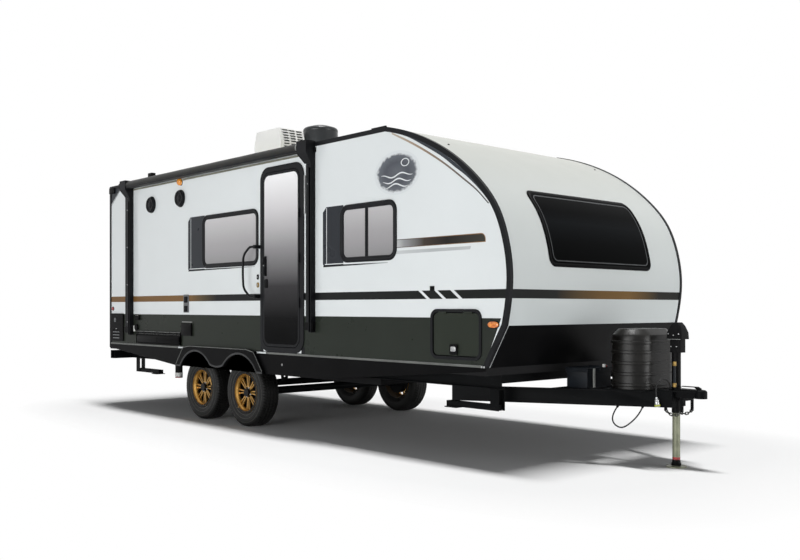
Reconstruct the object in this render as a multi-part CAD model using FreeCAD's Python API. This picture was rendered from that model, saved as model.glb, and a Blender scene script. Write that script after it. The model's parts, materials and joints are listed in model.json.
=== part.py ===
"""Tandem-axle travel trailer with a rounded, teardrop-like nose.

Lengths are in millimetres. While the pieces are made, x runs forwards from the point midway between
the axles, y runs to the left from the centreline and z runs up from the ground. On export every piece
moves back along x, so that the origin lies on the ground under the middle of the whole trailer.
"""
import FreeCAD, Part
import math
import os

# Wheels and axles
axle_spacing = 840.0
tyre_inset = 33.0
tyre_radius = 344.0
tyre_width = 200.0
tyre_bead_radius = 196.0
tyre_wall_shares = (
    (0.91, 0.05), (0.96, 0.16), (1.0, 0.41), (0.99, 0.645), (0.945, 0.84), (0.88, 0.93), (0.78, 0.972),
    (0.45, 1.0))
rim_radius = 206.0
rim_width = 168.0
rim_wall = 8.0
rim_lip = 14.0
rim_step = 20.0
spoke_count = 8
spoke_width = 13.0
spoke_start_radius = 50.0
spoke_spread_inner = 8.0
spoke_spread_outer = 20.0
spoke_thickness = 16.0
spoke_recess = 30.0
hub_radius = 62.0
centre_cap_radius = 40.0
centre_cap_height = 26.0
drum_radius = 132.0
drum_width = 56.0
spindle_radius = 20.0
bearing_clearance = 0.05
end_clearance = 0.3
axle_tube_radius = 38.0
backing_plate_radius = 126.0
backing_plate_thickness = 6.0

# Springs under the frame
spring_width = 45.0
spring_length = 640.0
spring_thickness = 26.0
spring_seat_height = 22.0
spring_rise = 52.0
spring_eye_radius = 16.0
leaf_length_shares = (1.0, 0.78, 0.56, 0.36)
tie_plate = 8.0
u_bolt_radius = 6.0
hanger_length = 60.0
hanger_plate = 6.0
hanger_pin_radius = 8.0
equalizer_rise = 36.0

# Chassis
rail_clearance = 35.0
rail_flange = 60.0
rail_height = 120.0
rail_web = 8.0
rail_rear_overhang = 14.0
rail_front_setback = 109.0
cross_member_width = 50.0
cross_member_height = 80.0
cross_member_shares = (0.0, 0.2, 0.4, 0.6, 0.8, 1.0)
bumper_size = 100.0
bumper_wall = 4.0
bumper_bottom_z = 565.0
bumper_end_setback = 58.0
tongue_height = 118.0
tongue_width = 60.0
tongue_overlap = 500.0
tongue_front_x = 4600.0
tongue_front_y = 62.0
tongue_cross_x_shares = (0.46, 0.72)

# Coupler and jack
coupler_nose_x = 4825.0
coupler_rear_x = 4460.0
coupler_plate = 8.0
coupler_top_z = 590.0
coupler_height = 64.0
coupler_nose_radius = 46.0
coupler_dome_radius = 20.0
coupler_neck_y = 52.0
coupler_nose_y = 36.0
coupler_plate_y = 78.0
ball_bore_radius = 30.0
ball_bore_depth = 52.0
latch_length = 150.0
latch_width = 24.0
latch_height = 22.0
latch_plate = 6.0
jack_x = 4578.0
jack_leg_radius = 28.5
jack_tube_wall = 5.0
jack_tube_bottom_z = 408.0
jack_head_bottom_z = 860.0
jack_hood_bottom_z = 960.0
jack_head_top_z = 1086.0
jack_hood_length = 130.0
jack_hood_width = 126.0
jack_hood_offset = 12.0
jack_hood_shares = ((0.0, 1.0), (0.4, 0.95), (0.8, 0.66), (1.0, 0.39))
jack_case_size = 90.0
jack_corner = 18.0
jack_leg_top_z = 500.0
jack_foot_radius = 75.0
jack_foot_thickness = 8.0
jack_drop_radius = 22.0
jack_drop_height = 70.0

# Body shell
body_width = 2316.0
wall_thickness = 38.0
rear_x = -2546.0
roof_end_x = 2589.0
nose_tip_x = 3941.0
floor_front_x = 3709.0
wall_bottom_z = 750.0
roof_edge_z = 2686.0
roof_crown = 45.0
roof_thickness = 60.0
roof_slope_length = 420.0
cap_thickness = 38.0
floor_thickness = 60.0
lower_nose_thickness = 12.0
nose_outline_shares = (
    (0.0, 1.0), (0.27, 0.943), (0.562, 0.839), (0.768, 0.724), (0.898, 0.614),
    (0.973, 0.482), (1.0, 0.336), (0.981, 0.218), (0.9645, 0.163))
well_clearance = 36.0
well_side_clearance = 45.0
well_top_z = 860.0
well_wall = 12.0

# Trim along the edges of the side walls
edge_trim_width = 34.0
edge_trim_proud = 6.0
edge_trim_wrap = 26.0
lower_trim_height = 18.0
lower_trim_proud = 7.0

# Side skirts and the fender over both wheels
skirt_thickness = 10.0
skirt_lip = 24.0
skirt_rear_bottom_z = 708.0
skirt_deep_bottom_z = 556.0
skirt_front_bottom_z = 724.0
skirt_front_flat_end_x = 1700.0
fender_depth = 37.0
fender_skin = 6.0
fender_half_length = 860.0
fender_shoulder_x = 690.0
fender_flat_x = 560.0
fender_top_z = 786.0
fender_shoulder_z = 765.0
fender_lobe_join_z = 600.0
fender_lobe_bottom_z = 578.0
arch_radius = 385.0

# Windows: rear x, front x, bottom z, top z of the outer edge of each frame
aft_window = (-333.0, 727.0, 1610.0, 2170.0)
front_window = (1999.0, 2732.0, 1585.0, 2087.0)
left_rear_window = (-2050.0, -1250.0, 1610.0, 2170.0)
left_front_window = (1750.0, 2483.0, 1585.0, 2087.0)
window_corner = 95.0
window_flange = 46.0
window_proud = 12.0
window_neck = 22.0
window_bar_width = 38.0
window_bar_x_share = 0.48
glass_thickness = 6.0
glass_setback = 3.0
nose_window_half_width = 660.0
nose_window_bottom_z = 1517.0
nose_window_top_z = 2085.0
nose_window_frame = 34.0
nose_window_proud = 8.0

# Entry door on the right side
door_leaf_rear_x = 817.0
door_leaf_front_x = 1410.0
door_leaf_bottom_z = 825.0
door_leaf_top_z = 2487.0
door_frame_outer = (768.0, 1472.0, 773.0, 2546.0)
door_frame_corner = 130.0
door_leaf_corner = 95.0
door_gap = 5.0
door_jamb = 16.0
door_proud = 12.0
door_panel_border = 26.0
hinge_radius = 8.0
hinge_length = 90.0
hinge_gap = 0.3
hinge_count = 3
lock_rear_x = 832.0
lock_width = 52.0
lock_bottom_z = 1500.0
lock_height = 190.0
lock_proud = 20.0
grab_hinge_x = 748.0
grab_bottom_z = 1306.0
grab_top_z = 1787.0
grab_reach_x = 150.0
grab_bend_share = 0.33
grab_corner_share = 0.5
grab_out = 62.0
grab_radius = 11.0
grab_foot_radius = 16.0
grab_foot_height = 34.0
grab_rest_turn = 168.0

# Front storage lockers
locker = (3127.0, 3665.0, 799.0, 1186.0)
locker_corner = 70.0
locker_frame_width = 30.0
locker_gap = 5.0
locker_proud = 9.0
locker_hinge_share = 0.25
locker_latch_width = 44.0
locker_latch_height = 54.0
locker_latch_proud = 10.0

# Awning along the right side
awning_radius = 46.0
awning_standoff = 57.0
awning_rear_setback = 466.0
awning_front_x = 1560.0
awning_z = 2648.0
awning_cap_length = 46.0
awning_cap_radius = 47.0
awning_housing_depth = 107.0
housing_length = 145.0
housing_foot_length = 95.0
housing_rise = 54.0
housing_drop = 148.0
arm_width = 38.0
arm_depth = 52.0
arm_channel_wall = 6.0
front_arm_x = 1619.0
rear_arm_setback = 605.0
front_arm_bottom_z = 972.0
rear_arm_bottom_z = 873.0
strut_offset = 52.0
strut_rod_radius = 7.0
strut_tube_radius = 13.0
strut_rod_length = 260.0
strut_foot_height = 49.0

# Roof equipment
dome_x = 730.0
dome_y = -400.0
dome_radius = 194.0
dome_height = 352.0
dome_crown = 45.0
dome_knee = 30.0
dome_taper_share = 0.9
vent_x = 500.0
vent_y = -750.0
vent_length = 470.0
vent_width = 300.0
vent_height = 285.0
vent_slope_height = 130.0
vent_slope_run = 40.0
vent_rows = 5
vent_columns = 3
vent_bar_share = 0.06
vent_slot_shares = (0.2, 0.62)
vent_slot_depth = 12.0
pipe_vent_radius = 45.0
pipe_vent_height = 60.0
pipe_vent_x = -1700.0
pipe_vent_spacing = 560.0
pipe_vent_y = 620.0

# Gas bottle cover and battery box on the tongue
cover_x = 4285.0
cover_length = 340.0
cover_width = 570.0
cover_bottom_z = 578.0
cover_top_z = 1035.0
cover_shoulder = 46.0
cover_rib = 7.0
cover_rib_height = 22.0
cover_rib_shares = (0.06, 0.26, 0.46, 0.66, 0.84)
battery_x = 3800.0
battery_length = 210.0
battery_rear_y = -330.0
battery_width = 330.0
battery_height = 125.0
battery_lid = 30.0
battery_lip = 8.0
battery_strap = 3.0
battery_strap_width = 30.0
battery_carrier = 40.0

# Stabiliser legs at the four corners
stabiliser_rear_inset = 216.0
stabiliser_front_inset = 45.0
stabiliser_clearance = 5.0
stabiliser_width = 74.0
stabiliser_plate = 6.0
stabiliser_pin_radius = 9.0
stabiliser_leg_length = 520.0
stabiliser_leg_height = 44.0
stabiliser_foot_length = 130.0
stabiliser_foot_width = 110.0
stabiliser_foot_thickness = 8.0

# Fittings
speaker_radius = 80.0
speaker_proud = 18.0
speaker_places = ((-1462.0, 2397.0), (-793.0, 2379.0))
marker_length = 80.0
marker_height = 26.0
marker_proud = 14.0
upper_marker = (-765.0, 2562.0)
rear_marker_inset = 80.0
rear_marker_z = 1180.0
nose_marker_setback = 162.0
nose_marker_z = 1072.0
nose_marker_length = 114.0
nose_marker_height = 51.0
marker_corner_share = 0.49
tail_light_width = 90.0
tail_light_height = 260.0
tail_light_proud = 22.0
vent_panel_length = 338.0
vent_panel_bottom_z = 790.0
vent_panel_top_z = 1125.0
vent_slot_side_share = 0.25
vent_slot_pitch_share = 0.125
vent_panel_proud = 16.0
vent_slot_count = 3
vent_slot_height = 14.0
panel_slot_depth = 8.0
shelf_rail_inset = 727.0
shelf_rail_length = 1041.0
shelf_rail_bottom_z = 775.0
shelf_rail_height = 150.0
shelf_rail_proud = 22.0
shelf_rail_wall = 5.0
shelf_lip = 14.0
inlet_inset = 716.0
inlet_z = 966.0
inlet_radius = 36.0
inlet_proud = 20.0
socket_box = (96.0, 60.0)
socket_box_z = 1049.0
hatch_box_inset = 1790.0
hatch_box = (213.0, 136.0)
hatch_box_z = 890.0
tank_length = 900.0
tank_width = 1200.0
tank_depth = 130.0
tank_rear_x = 1000.0
waste_pipe_inset = 701.0
waste_pipe_y = -600.0
waste_pipe_radius = 44.0
waste_pipe_bottom_z = 338.0

# Cords under and on the tongue
loop_cable_diameter = 11.0
loop_clip_length = 20.0
loop_clip_radius = 9.0
loop_cable_route = (
    (4225.0, -250.0, 440.0), (4176.0, -245.0, 378.0), (4180.0, -238.0, 306.0), (4245.0, -215.0, 272.0),
    (4318.0, -190.0, 330.0), (4371.0, -172.0, 396.0), (4389.0, -164.0, 440.0))

plug_cable_diameter = 10.5
plug_cable_route = (
    (4568.0, -62.0, 578.0), (4566.0, -67.0, 628.0), (4552.5, -102.0, 664.0), (4534.0, -148.0, 662.0),
    (4521.0, -182.0, 625.0), (4519.0, -187.0, 575.0), (4521.0, -181.0, 529.0))
gland_radius = 12.0
gland_height = 14.0
plug_radius = 17.0
plug_length = 72.0
plug_nut_radius = 21.0
plug_nut_length = 22.0
plug_wall = 4.0
plug_hole_depth = 12.0

# Safety chains beside the jack
chain_x = 4600.0
chain_y = 72.0
chain_low_z = 396.0
chain_bend_radius = 80.0
link_count = 7
link_pitch = 24.0
link_inner_length = 24.8
link_inner_width = 11.0
link_wire = 7.0
chain_pin_radius = 4.5
chain_lug_gap = 0.7
chain_lug_plate = 4.0
chain_lug_width = 18.0
chain_bar = 22.0

cord_arc_share = 0.45

cut_overrun = 5.0
seat_gap = 0.3

# Places worked out from the sizes above
half_width = body_width / 2
track = body_width - 2 * tyre_inset - tyre_width
tyre_inner_y = track / 2 - tyre_width / 2
rail_outer_y = tyre_inner_y - rail_clearance
well_inner_y = tyre_inner_y - well_side_clearance
inner_half_width = half_width - wall_thickness
nose_length = nose_tip_x - roof_end_x
wall_height = roof_edge_z - wall_bottom_z
floor_bottom_z = wall_bottom_z - floor_thickness
rail_bottom_z = floor_bottom_z - rail_height
tongue_bottom_z = rail_bottom_z - tongue_height
rail_rear_x = rear_x - rail_rear_overhang
rail_front_x = floor_front_x - rail_front_setback
bumper_rear_x = rail_rear_x - bumper_size
bumper_half_length = half_width - bumper_end_setback
tongue_rear_x = rail_front_x - tongue_overlap
origin_x = (coupler_nose_x + bumper_rear_x) / 2
awning_rear_x = rear_x + awning_rear_setback
rear_arm_x = rear_x + rear_arm_setback
stabiliser_rear_x = rear_x + stabiliser_rear_inset
stabiliser_front_x = rail_front_x - stabiliser_front_inset
vent_panel_front_x = rear_x + edge_trim_width + vent_panel_length
waste_pipe_x = rear_x + waste_pipe_inset
spring_offset_y = rail_outer_y - rail_flange / 2
well_half_length = axle_spacing / 2 + tyre_radius + well_clearance

nodes = {}


def vec(x, y, z):
    return FreeCAD.Vector(x, y, z)


def block(x0, x1, y0, y1, z0, z1):
    """A box between two values on each axis, given in either order."""
    lows = [min(pair) for pair in ((x0, x1), (y0, y1), (z0, z1))]
    highs = [max(pair) for pair in ((x0, x1), (y0, y1), (z0, z1))]
    sizes = [high - low for low, high in zip(lows, highs)]
    return Part.makeBox(*sizes, vec(*lows))


def rod(start, end, radius):
    """A cylinder from one point to another."""
    direction = vec(*end) - vec(*start)
    return Part.makeCylinder(radius, direction.Length, vec(*start), direction)


def pipe(start, end, outer, inner):
    """A straight tube, open at both ends."""
    return rod(start, end, outer).cut(rod(start, end, inner))


def polygon_face(points):
    return Part.Face(Part.makePolygon([vec(*p) for p in points + points[:1]]))


def slab(outline, y0, y1):
    """An outline of x and z points, carried along y."""
    return polygon_face([(x, y0, z) for x, z in outline]).extrude(vec(0, y1 - y0, 0))


def plan_slab(outline, z0, z1):
    """An outline of x and y points, carried up along z."""
    return polygon_face([(x, y, z0) for x, y in outline]).extrude(vec(0, 0, z1 - z0))


def rounded_wire(x0, x1, z0, z1, corner, y):
    """A rectangle in a plane of constant y, with its four corners rounded."""
    bend = corner * (1 - math.sqrt(0.5))
    line, arc = Part.LineSegment, Part.Arc
    edges = [
        line(vec(x0 + corner, y, z0), vec(x1 - corner, y, z0)),
        arc(vec(x1 - corner, y, z0), vec(x1 - bend, y, z0 + bend), vec(x1, y, z0 + corner)),
        line(vec(x1, y, z0 + corner), vec(x1, y, z1 - corner)),
        arc(vec(x1, y, z1 - corner), vec(x1 - bend, y, z1 - bend), vec(x1 - corner, y, z1)),
        line(vec(x1 - corner, y, z1), vec(x0 + corner, y, z1)),
        arc(vec(x0 + corner, y, z1), vec(x0 + bend, y, z1 - bend), vec(x0, y, z1 - corner)),
        line(vec(x0, y, z1 - corner), vec(x0, y, z0 + corner)),
        arc(vec(x0, y, z0 + corner), vec(x0 + bend, y, z0 + bend), vec(x0 + corner, y, z0))]
    return Part.Wire([edge.toShape() for edge in edges])


def rounded_plate(rect, inset, corner, y0, y1):
    """A plate with rounded corners, its edge moved in by inset, between two values of y."""
    x0, x1, z0, z1 = rect
    wire = rounded_wire(x0 + inset, x1 - inset, z0 + inset, z1 - inset, corner - inset, y0)
    return Part.Face(wire).extrude(vec(0, y1 - y0, 0))


def rounded_ring(rect, outer_inset, inner_inset, corner, y0, y1):
    """The band between two insets of one rounded rectangle."""
    outer = rounded_plate(rect, outer_inset, corner, y0, y1)
    return outer.cut(rounded_plate(rect, inner_inset, corner, y0, y1))


def join(shapes):
    """Fuses shapes that touch into one solid."""
    first, rest = shapes[0], shapes[1:]
    return first.fuse(rest).removeSplitter() if rest else first


def mirrored(shape):
    """The same shape on the other side of the centreline."""
    return shape.mirror(vec(0, 0, 0), vec(0, 1, 0))


def add(name, *shapes):
    """Adds solids to one node; like pieces on one body share a node."""
    nodes.setdefault(name, []).extend(solid for shape in shapes for solid in shape.Solids)


def beyond(side, distance):
    """The y of a plane that lies some distance outside a side wall; side is -1 right or 1 left."""
    return side * (half_width + distance)


def nose_curve(inset):
    """The curved part of the side outline, moved inwards by inset, with its two end points."""
    points = [vec(roof_end_x + u * nose_length, 0, wall_bottom_z + v * wall_height)
              for u, v in nose_outline_shares]
    curve = Part.BSplineCurve()
    curve.interpolate(points)
    chin = vec(floor_front_x, 0, wall_bottom_z) - points[-1]
    moved = []
    for point in points:
        tangent = curve.tangent(curve.parameter(point))[0]
        inwards = vec(tangent.z, 0, -tangent.x)
        if point == points[0]:
            beside = vec(0, 0, -1)
        elif point == points[-1]:
            beside = vec(chin.z, 0, -chin.x).normalize()
        else:
            beside = inwards
        mitre = (inwards + beside) / (1 + inwards.dot(beside))
        moved.append(point + mitre * inset)
    offset = Part.BSplineCurve()
    offset.interpolate(moved)
    return offset, moved[0], moved[-1]


def chin_x(inset, z):
    """The x of the straight lower part of the nose outline at one height."""
    last_u, last_v = nose_outline_shares[-1]
    top_x = roof_end_x + last_u * nose_length
    top_z = wall_bottom_z + last_v * wall_height
    run, rise = top_x - floor_front_x, top_z - wall_bottom_z
    across = inset * math.hypot(run, rise) / rise
    return floor_front_x + run * (z - wall_bottom_z) / rise - across


def side_outline(inset, y):
    """The closed outline of a side wall, moved in by inset everywhere but along its bottom."""
    curve, top, chin = nose_curve(inset)
    bottom_rear = vec(rear_x + inset, 0, wall_bottom_z)
    top_rear = vec(rear_x + inset, 0, roof_edge_z - inset)
    bottom_front = vec(chin_x(inset, wall_bottom_z), 0, wall_bottom_z)
    edges = [
        Part.LineSegment(bottom_rear, top_rear).toShape(),
        Part.LineSegment(top_rear, top).toShape(),
        curve.toShape(),
        Part.LineSegment(chin, bottom_front).toShape(),
        Part.LineSegment(bottom_front, bottom_rear).toShape()]
    wire = Part.Wire(edges)
    wire.translate(vec(0, y, 0))
    return Part.Face(wire)


def tube_along(points, diameter, name):
    """A cord's solid: straight runs joined by tangent arcs, each as large as its two runs allow."""
    spots = [vec(*p) for p in points]
    edges = []
    start = spots[0]
    radii = []
    for before, corner, after in zip(spots, spots[1:], spots[2:]):
        back, ahead = before - corner, after - corner
        reach = cord_arc_share * min(back.Length, ahead.Length)
        turn = math.pi - back.getAngle(ahead)
        radius = reach / math.tan(turn / 2)
        radii.append(round(radius))
        back.normalize()
        ahead.normalize()
        enter, leave = corner + back * reach, corner + ahead * reach
        middle_line = (back + ahead).normalize()
        middle = corner + middle_line * (radius / math.cos(turn / 2) - radius)
        edges.append(Part.LineSegment(start, enter).toShape())
        edges.append(Part.Arc(enter, middle, leave).toShape())
        start = leave
    edges.append(Part.LineSegment(start, spots[-1]).toShape())
    path = Part.Wire(edges)
    circle = Part.makeCircle(diameter / 2, spots[0], spots[1] - spots[0])
    shape = path.makePipeShell([Part.Wire([circle])], True, False)
    ideal = math.pi * diameter ** 2 / 4 * path.Length
    length, share = round(path.Length), round(shape.Volume / ideal, 3)
    print(name, "bend radii", radii, "length", length, "volume share", share)
    return shape


def make_wheels(side, side_name):
    """Tyres and rims of one side, turning about lines along y; both axles carry the same wheel."""
    middle = side * track / 2

    def spun(profile):
        face = polygon_face([(0, middle + side * out, tyre_radius + radius) for out, radius in profile])
        return face.revolve(vec(0, middle, tyre_radius), vec(0, 1, 0), 360)

    half, edge = tyre_width / 2, rim_width / 2
    height = tyre_radius - rim_radius
    wall = [(edge, tyre_bead_radius), (edge, rim_radius)]
    wall += [(half * out, rim_radius + height * up) for out, up in tyre_wall_shares]
    tyre = spun(wall + [(-out, radius) for out, radius in wall[::-1]])

    seat = tyre_bead_radius - rim_wall
    face_out = edge - spoke_recess
    disc_radius = seat - rim_step
    barrel = spun([
        (-edge - rim_wall, rim_radius), (-edge, rim_radius), (-edge, tyre_bead_radius),
        (edge, tyre_bead_radius), (edge, rim_radius), (edge + rim_wall, rim_radius),
        (edge + rim_wall, seat), (edge - rim_lip / 2, seat - rim_lip / 4), (edge - rim_lip, seat - rim_lip),
        (face_out, disc_radius), (face_out - spoke_thickness, disc_radius),
        (face_out - spoke_thickness - rim_step, seat), (-edge - rim_wall, seat)])
    spokes = []
    back, front = middle + side * (face_out - spoke_thickness), middle + side * face_out
    for number in range(spoke_count):
        for lean in (-1, 1):
            inner_x, outer_x = lean * spoke_spread_inner, lean * spoke_spread_outer
            spoke = slab([
                (inner_x - spoke_width / 2, tyre_radius + spoke_start_radius),
                (inner_x + spoke_width / 2, tyre_radius + spoke_start_radius),
                (outer_x + spoke_width / 2, tyre_radius + disc_radius + rim_wall),
                (outer_x - spoke_width / 2, tyre_radius + disc_radius + rim_wall)], back, front)
            spoke.rotate(vec(0, middle, tyre_radius), vec(0, 1, 0), 360 * number / spoke_count)
            spokes.append(spoke)
    hub_in = -edge
    hub = spun([
        (hub_in, 0), (hub_in, drum_radius), (hub_in + drum_width, drum_radius),
        (hub_in + drum_width, hub_radius), (face_out, hub_radius), (face_out, centre_cap_radius),
        (face_out + centre_cap_height, centre_cap_radius), (face_out + centre_cap_height, 0)])
    bore = rod((0, middle + side * (hub_in - cut_overrun), tyre_radius), (0, back, tyre_radius),
               spindle_radius + bearing_clearance)
    rim = join([barrel, hub] + spokes).cut(bore)
    for end_name, x in (("front", axle_spacing / 2), ("rear", -axle_spacing / 2)):
        for kind, shape in (("_tyre", tyre), ("_rim", rim)):
            placed = shape.copy()
            placed.translate(vec(x, 0, 0))
            add(end_name + "_" + side_name + kind, placed)


def make_axle(x):
    """Axle tube with a spindle and a brake backing plate at each end."""
    drum_inner = track / 2 - rim_width / 2
    tube_end = drum_inner - end_clearance - backing_plate_thickness
    plate_end = drum_inner - end_clearance
    spindle_end = track / 2 + rim_width / 2 - spoke_recess - spoke_thickness - end_clearance
    pieces = [rod((x, -tube_end, tyre_radius), (x, tube_end, tyre_radius), axle_tube_radius)]
    for side in (-1, 1):
        pieces.append(rod((x, side * tube_end, tyre_radius), (x, side * plate_end, tyre_radius),
                          backing_plate_radius))
        pieces.append(rod((x, side * plate_end, tyre_radius), (x, side * spindle_end, tyre_radius),
                          spindle_radius))
    seat_top = tyre_radius + axle_tube_radius + spring_seat_height
    for side in (-1, 1):
        pieces.append(block(x - spring_width, x + spring_width,
                            side * (spring_offset_y - spring_width / 2),
                            side * (spring_offset_y + spring_width / 2), tyre_radius, seat_top))
    add("axles", join(pieces))


def leaf_spring(y0, y1):
    """Four curved leaves on each other, with an eye at both ends of the top one, centred on x = 0."""
    seat_top = tyre_radius + axle_tube_radius + spring_seat_height
    reach = spring_length / 2
    top_radius = (reach ** 2 + spring_rise ** 2) / (2 * spring_rise)
    centre_z = seat_top + spring_thickness + top_radius
    leaf = spring_thickness / len(leaf_length_shares)
    pieces = []
    for number, share in enumerate(leaf_length_shares):
        outline = []
        for radius in (top_radius + number * leaf, top_radius + (number + 1) * leaf):
            angle = math.asin(reach * share / radius)
            side = radius * math.sin(angle)
            rise = radius * math.cos(angle)
            outline.append([vec(-side, y0, centre_z - rise), vec(0, y0, centre_z - radius),
                            vec(side, y0, centre_z - rise)])
        (a, b, c), (d, e, f) = outline
        edges = [Part.Arc(a, b, c), Part.LineSegment(c, f), Part.Arc(f, e, d), Part.LineSegment(d, a)]
        face = Part.Face(Part.Wire([edge.toShape() for edge in edges]))
        pieces.append(face.extrude(vec(0, y1 - y0, 0)))
    eye_z = centre_z - math.sqrt(top_radius ** 2 - reach ** 2) + spring_eye_radius - leaf
    pieces += [rod((s * reach, y0, eye_z), (s * reach, y1, eye_z), spring_eye_radius) for s in (-1, 1)]
    pieces.append(block(-spring_width, spring_width, y0, y1, seat_top, seat_top + spring_thickness))
    return join(pieces), eye_z


def make_suspension():
    """Leaf springs over the axles, clamped by bolts, with hangers and a rocking equalizer between them."""
    seat_top = tyre_radius + axle_tube_radius + spring_seat_height
    reach = spring_length / 2
    plate_top = seat_top + spring_thickness + tie_plate
    for side in (-1, 1):
        y0, y1 = [side * spring_offset_y + s * spring_width / 2 for s in (-1, 1)]
        spring, eye_z = leaf_spring(y0, y1)
        pieces = []
        for x in (-axle_spacing / 2, axle_spacing / 2):
            placed = spring.copy()
            placed.translate(vec(x, 0, 0))
            pieces.append(placed)
            leg_x = axle_tube_radius + u_bolt_radius + seat_gap
            bolt_y = spring_width / 2 + u_bolt_radius + seat_gap
            edge_x, edge_y = leg_x + tie_plate, 2 * u_bolt_radius + tie_plate
            pieces.append(block(x - edge_x, x + edge_x, y0 - edge_y, y1 + edge_y,
                                plate_top - tie_plate, plate_top))
            for s in (-1, 1):
                y = side * spring_offset_y + s * bolt_y
                for bolt_x in (x - leg_x, x + leg_x):
                    pieces.append(rod((bolt_x, y, tyre_radius), (bolt_x, y, plate_top + tie_plate),
                                      u_bolt_radius))
                ring = Part.Face(Part.Wire([Part.makeCircle(u_bolt_radius, vec(x + leg_x, y, tyre_radius),
                                                            vec(0, 0, 1))]))
                pieces.append(ring.revolve(vec(x, y, tyre_radius), vec(0, 1, 0), 180))
        for x in (-axle_spacing / 2 - reach, 0.0, axle_spacing / 2 + reach):
            foot_z = eye_z if x else eye_z + equalizer_rise
            for cheek_low, cheek_high in ((y0 - hanger_plate, y0), (y1, y1 + hanger_plate)):
                pieces.append(slab([
                    (x - hanger_length / 2, rail_bottom_z), (x + hanger_length / 2, rail_bottom_z),
                    (x + spring_eye_radius, foot_z - spring_eye_radius),
                    (x - spring_eye_radius, foot_z - spring_eye_radius)], cheek_low, cheek_high))
            pieces.append(rod((x, y0 - hanger_plate, foot_z), (x, y1 + hanger_plate, foot_z),
                              hanger_pin_radius))
        link, eye = axle_spacing / 2 - reach, spring_eye_radius
        pivot_top = eye_z + equalizer_rise + eye
        pieces.append(slab([
            (-link - eye, eye_z), (-link, eye_z - eye), (0, eye_z - eye / 2), (link, eye_z - eye),
            (link + eye, eye_z), (link, eye_z + eye), (eye, pivot_top), (-eye, pivot_top),
            (-link, eye_z + eye)], y0, y1))
        add("suspension", join(pieces))


def make_chassis():
    """Two long I-shaped rails joined by cross members."""
    inner_y = rail_outer_y - rail_flange
    web_y = rail_outer_y - rail_flange / 2
    web_inner_y, web_outer_y = web_y - rail_web / 2, web_y + rail_web / 2
    pieces = []
    for side in (-1, 1):
        for z in (rail_bottom_z, floor_bottom_z - rail_web):
            pieces.append(block(rail_rear_x, rail_front_x, side * inner_y, side * rail_outer_y,
                                z, z + rail_web))
        pieces.append(block(rail_rear_x, rail_front_x, side * web_inner_y, side * web_outer_y,
                            rail_bottom_z, floor_bottom_z))
    first = rail_rear_x + cross_member_width
    span = rail_front_x - cross_member_width - first
    for share in cross_member_shares:
        x = first + share * span
        pieces.append(block(x - cross_member_width / 2, x + cross_member_width / 2, -web_y, web_y,
                            floor_bottom_z - cross_member_height, floor_bottom_z))
    add("main_frame", join(pieces))

    bumper_front_x = bumper_rear_x + bumper_size
    bumper = block(bumper_rear_x, bumper_front_x, -bumper_half_length, bumper_half_length,
                   bumper_bottom_z, bumper_bottom_z + bumper_size)
    hollow = block(bumper_rear_x + bumper_wall, bumper_front_x - bumper_wall,
                   -bumper_half_length - cut_overrun, bumper_half_length + cut_overrun,
                   bumper_bottom_z + bumper_wall, bumper_bottom_z + bumper_size - bumper_wall)
    add("rear_bumper", bumper.cut(hollow))


def tongue_line_y(x):
    """Half the distance between the middles of the two tongue rails at one x."""
    start_y = rail_outer_y - tongue_width / 2
    share = (x - tongue_rear_x) / (tongue_front_x - tongue_rear_x)
    return start_y + share * (tongue_front_y - start_y)


def make_tongue():
    """The A-shaped tongue under the nose, with its cross bars."""
    slope = math.atan2(tongue_line_y(tongue_rear_x) - tongue_front_y, tongue_front_x - tongue_rear_x)
    half_across = tongue_width / 2 / math.cos(slope)
    rails = []
    for side in (-1, 1):
        rails.append(plan_slab([
            (tongue_rear_x, side * (tongue_line_y(tongue_rear_x) - half_across)),
            (tongue_rear_x, side * (tongue_line_y(tongue_rear_x) + half_across)),
            (tongue_front_x, side * (tongue_front_y + half_across)),
            (tongue_front_x, side * (tongue_front_y - half_across))], tongue_bottom_z, rail_bottom_z))
    for share in tongue_cross_x_shares:
        x = tongue_rear_x + share * (tongue_front_x - tongue_rear_x)
        reach = tongue_line_y(x)
        rails.append(block(x - cross_member_width / 2, x + cross_member_width / 2, -reach, reach,
                           rail_bottom_z - cross_member_height / 2, rail_bottom_z))
    frame = join(rails)
    sleeve = rod((jack_x, 0, tongue_bottom_z - cut_overrun), (jack_x, 0, rail_bottom_z + cut_overrun),
                 jack_leg_radius + bearing_clearance + jack_tube_wall)
    add("tongue_frame", frame.cut(sleeve))


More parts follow.
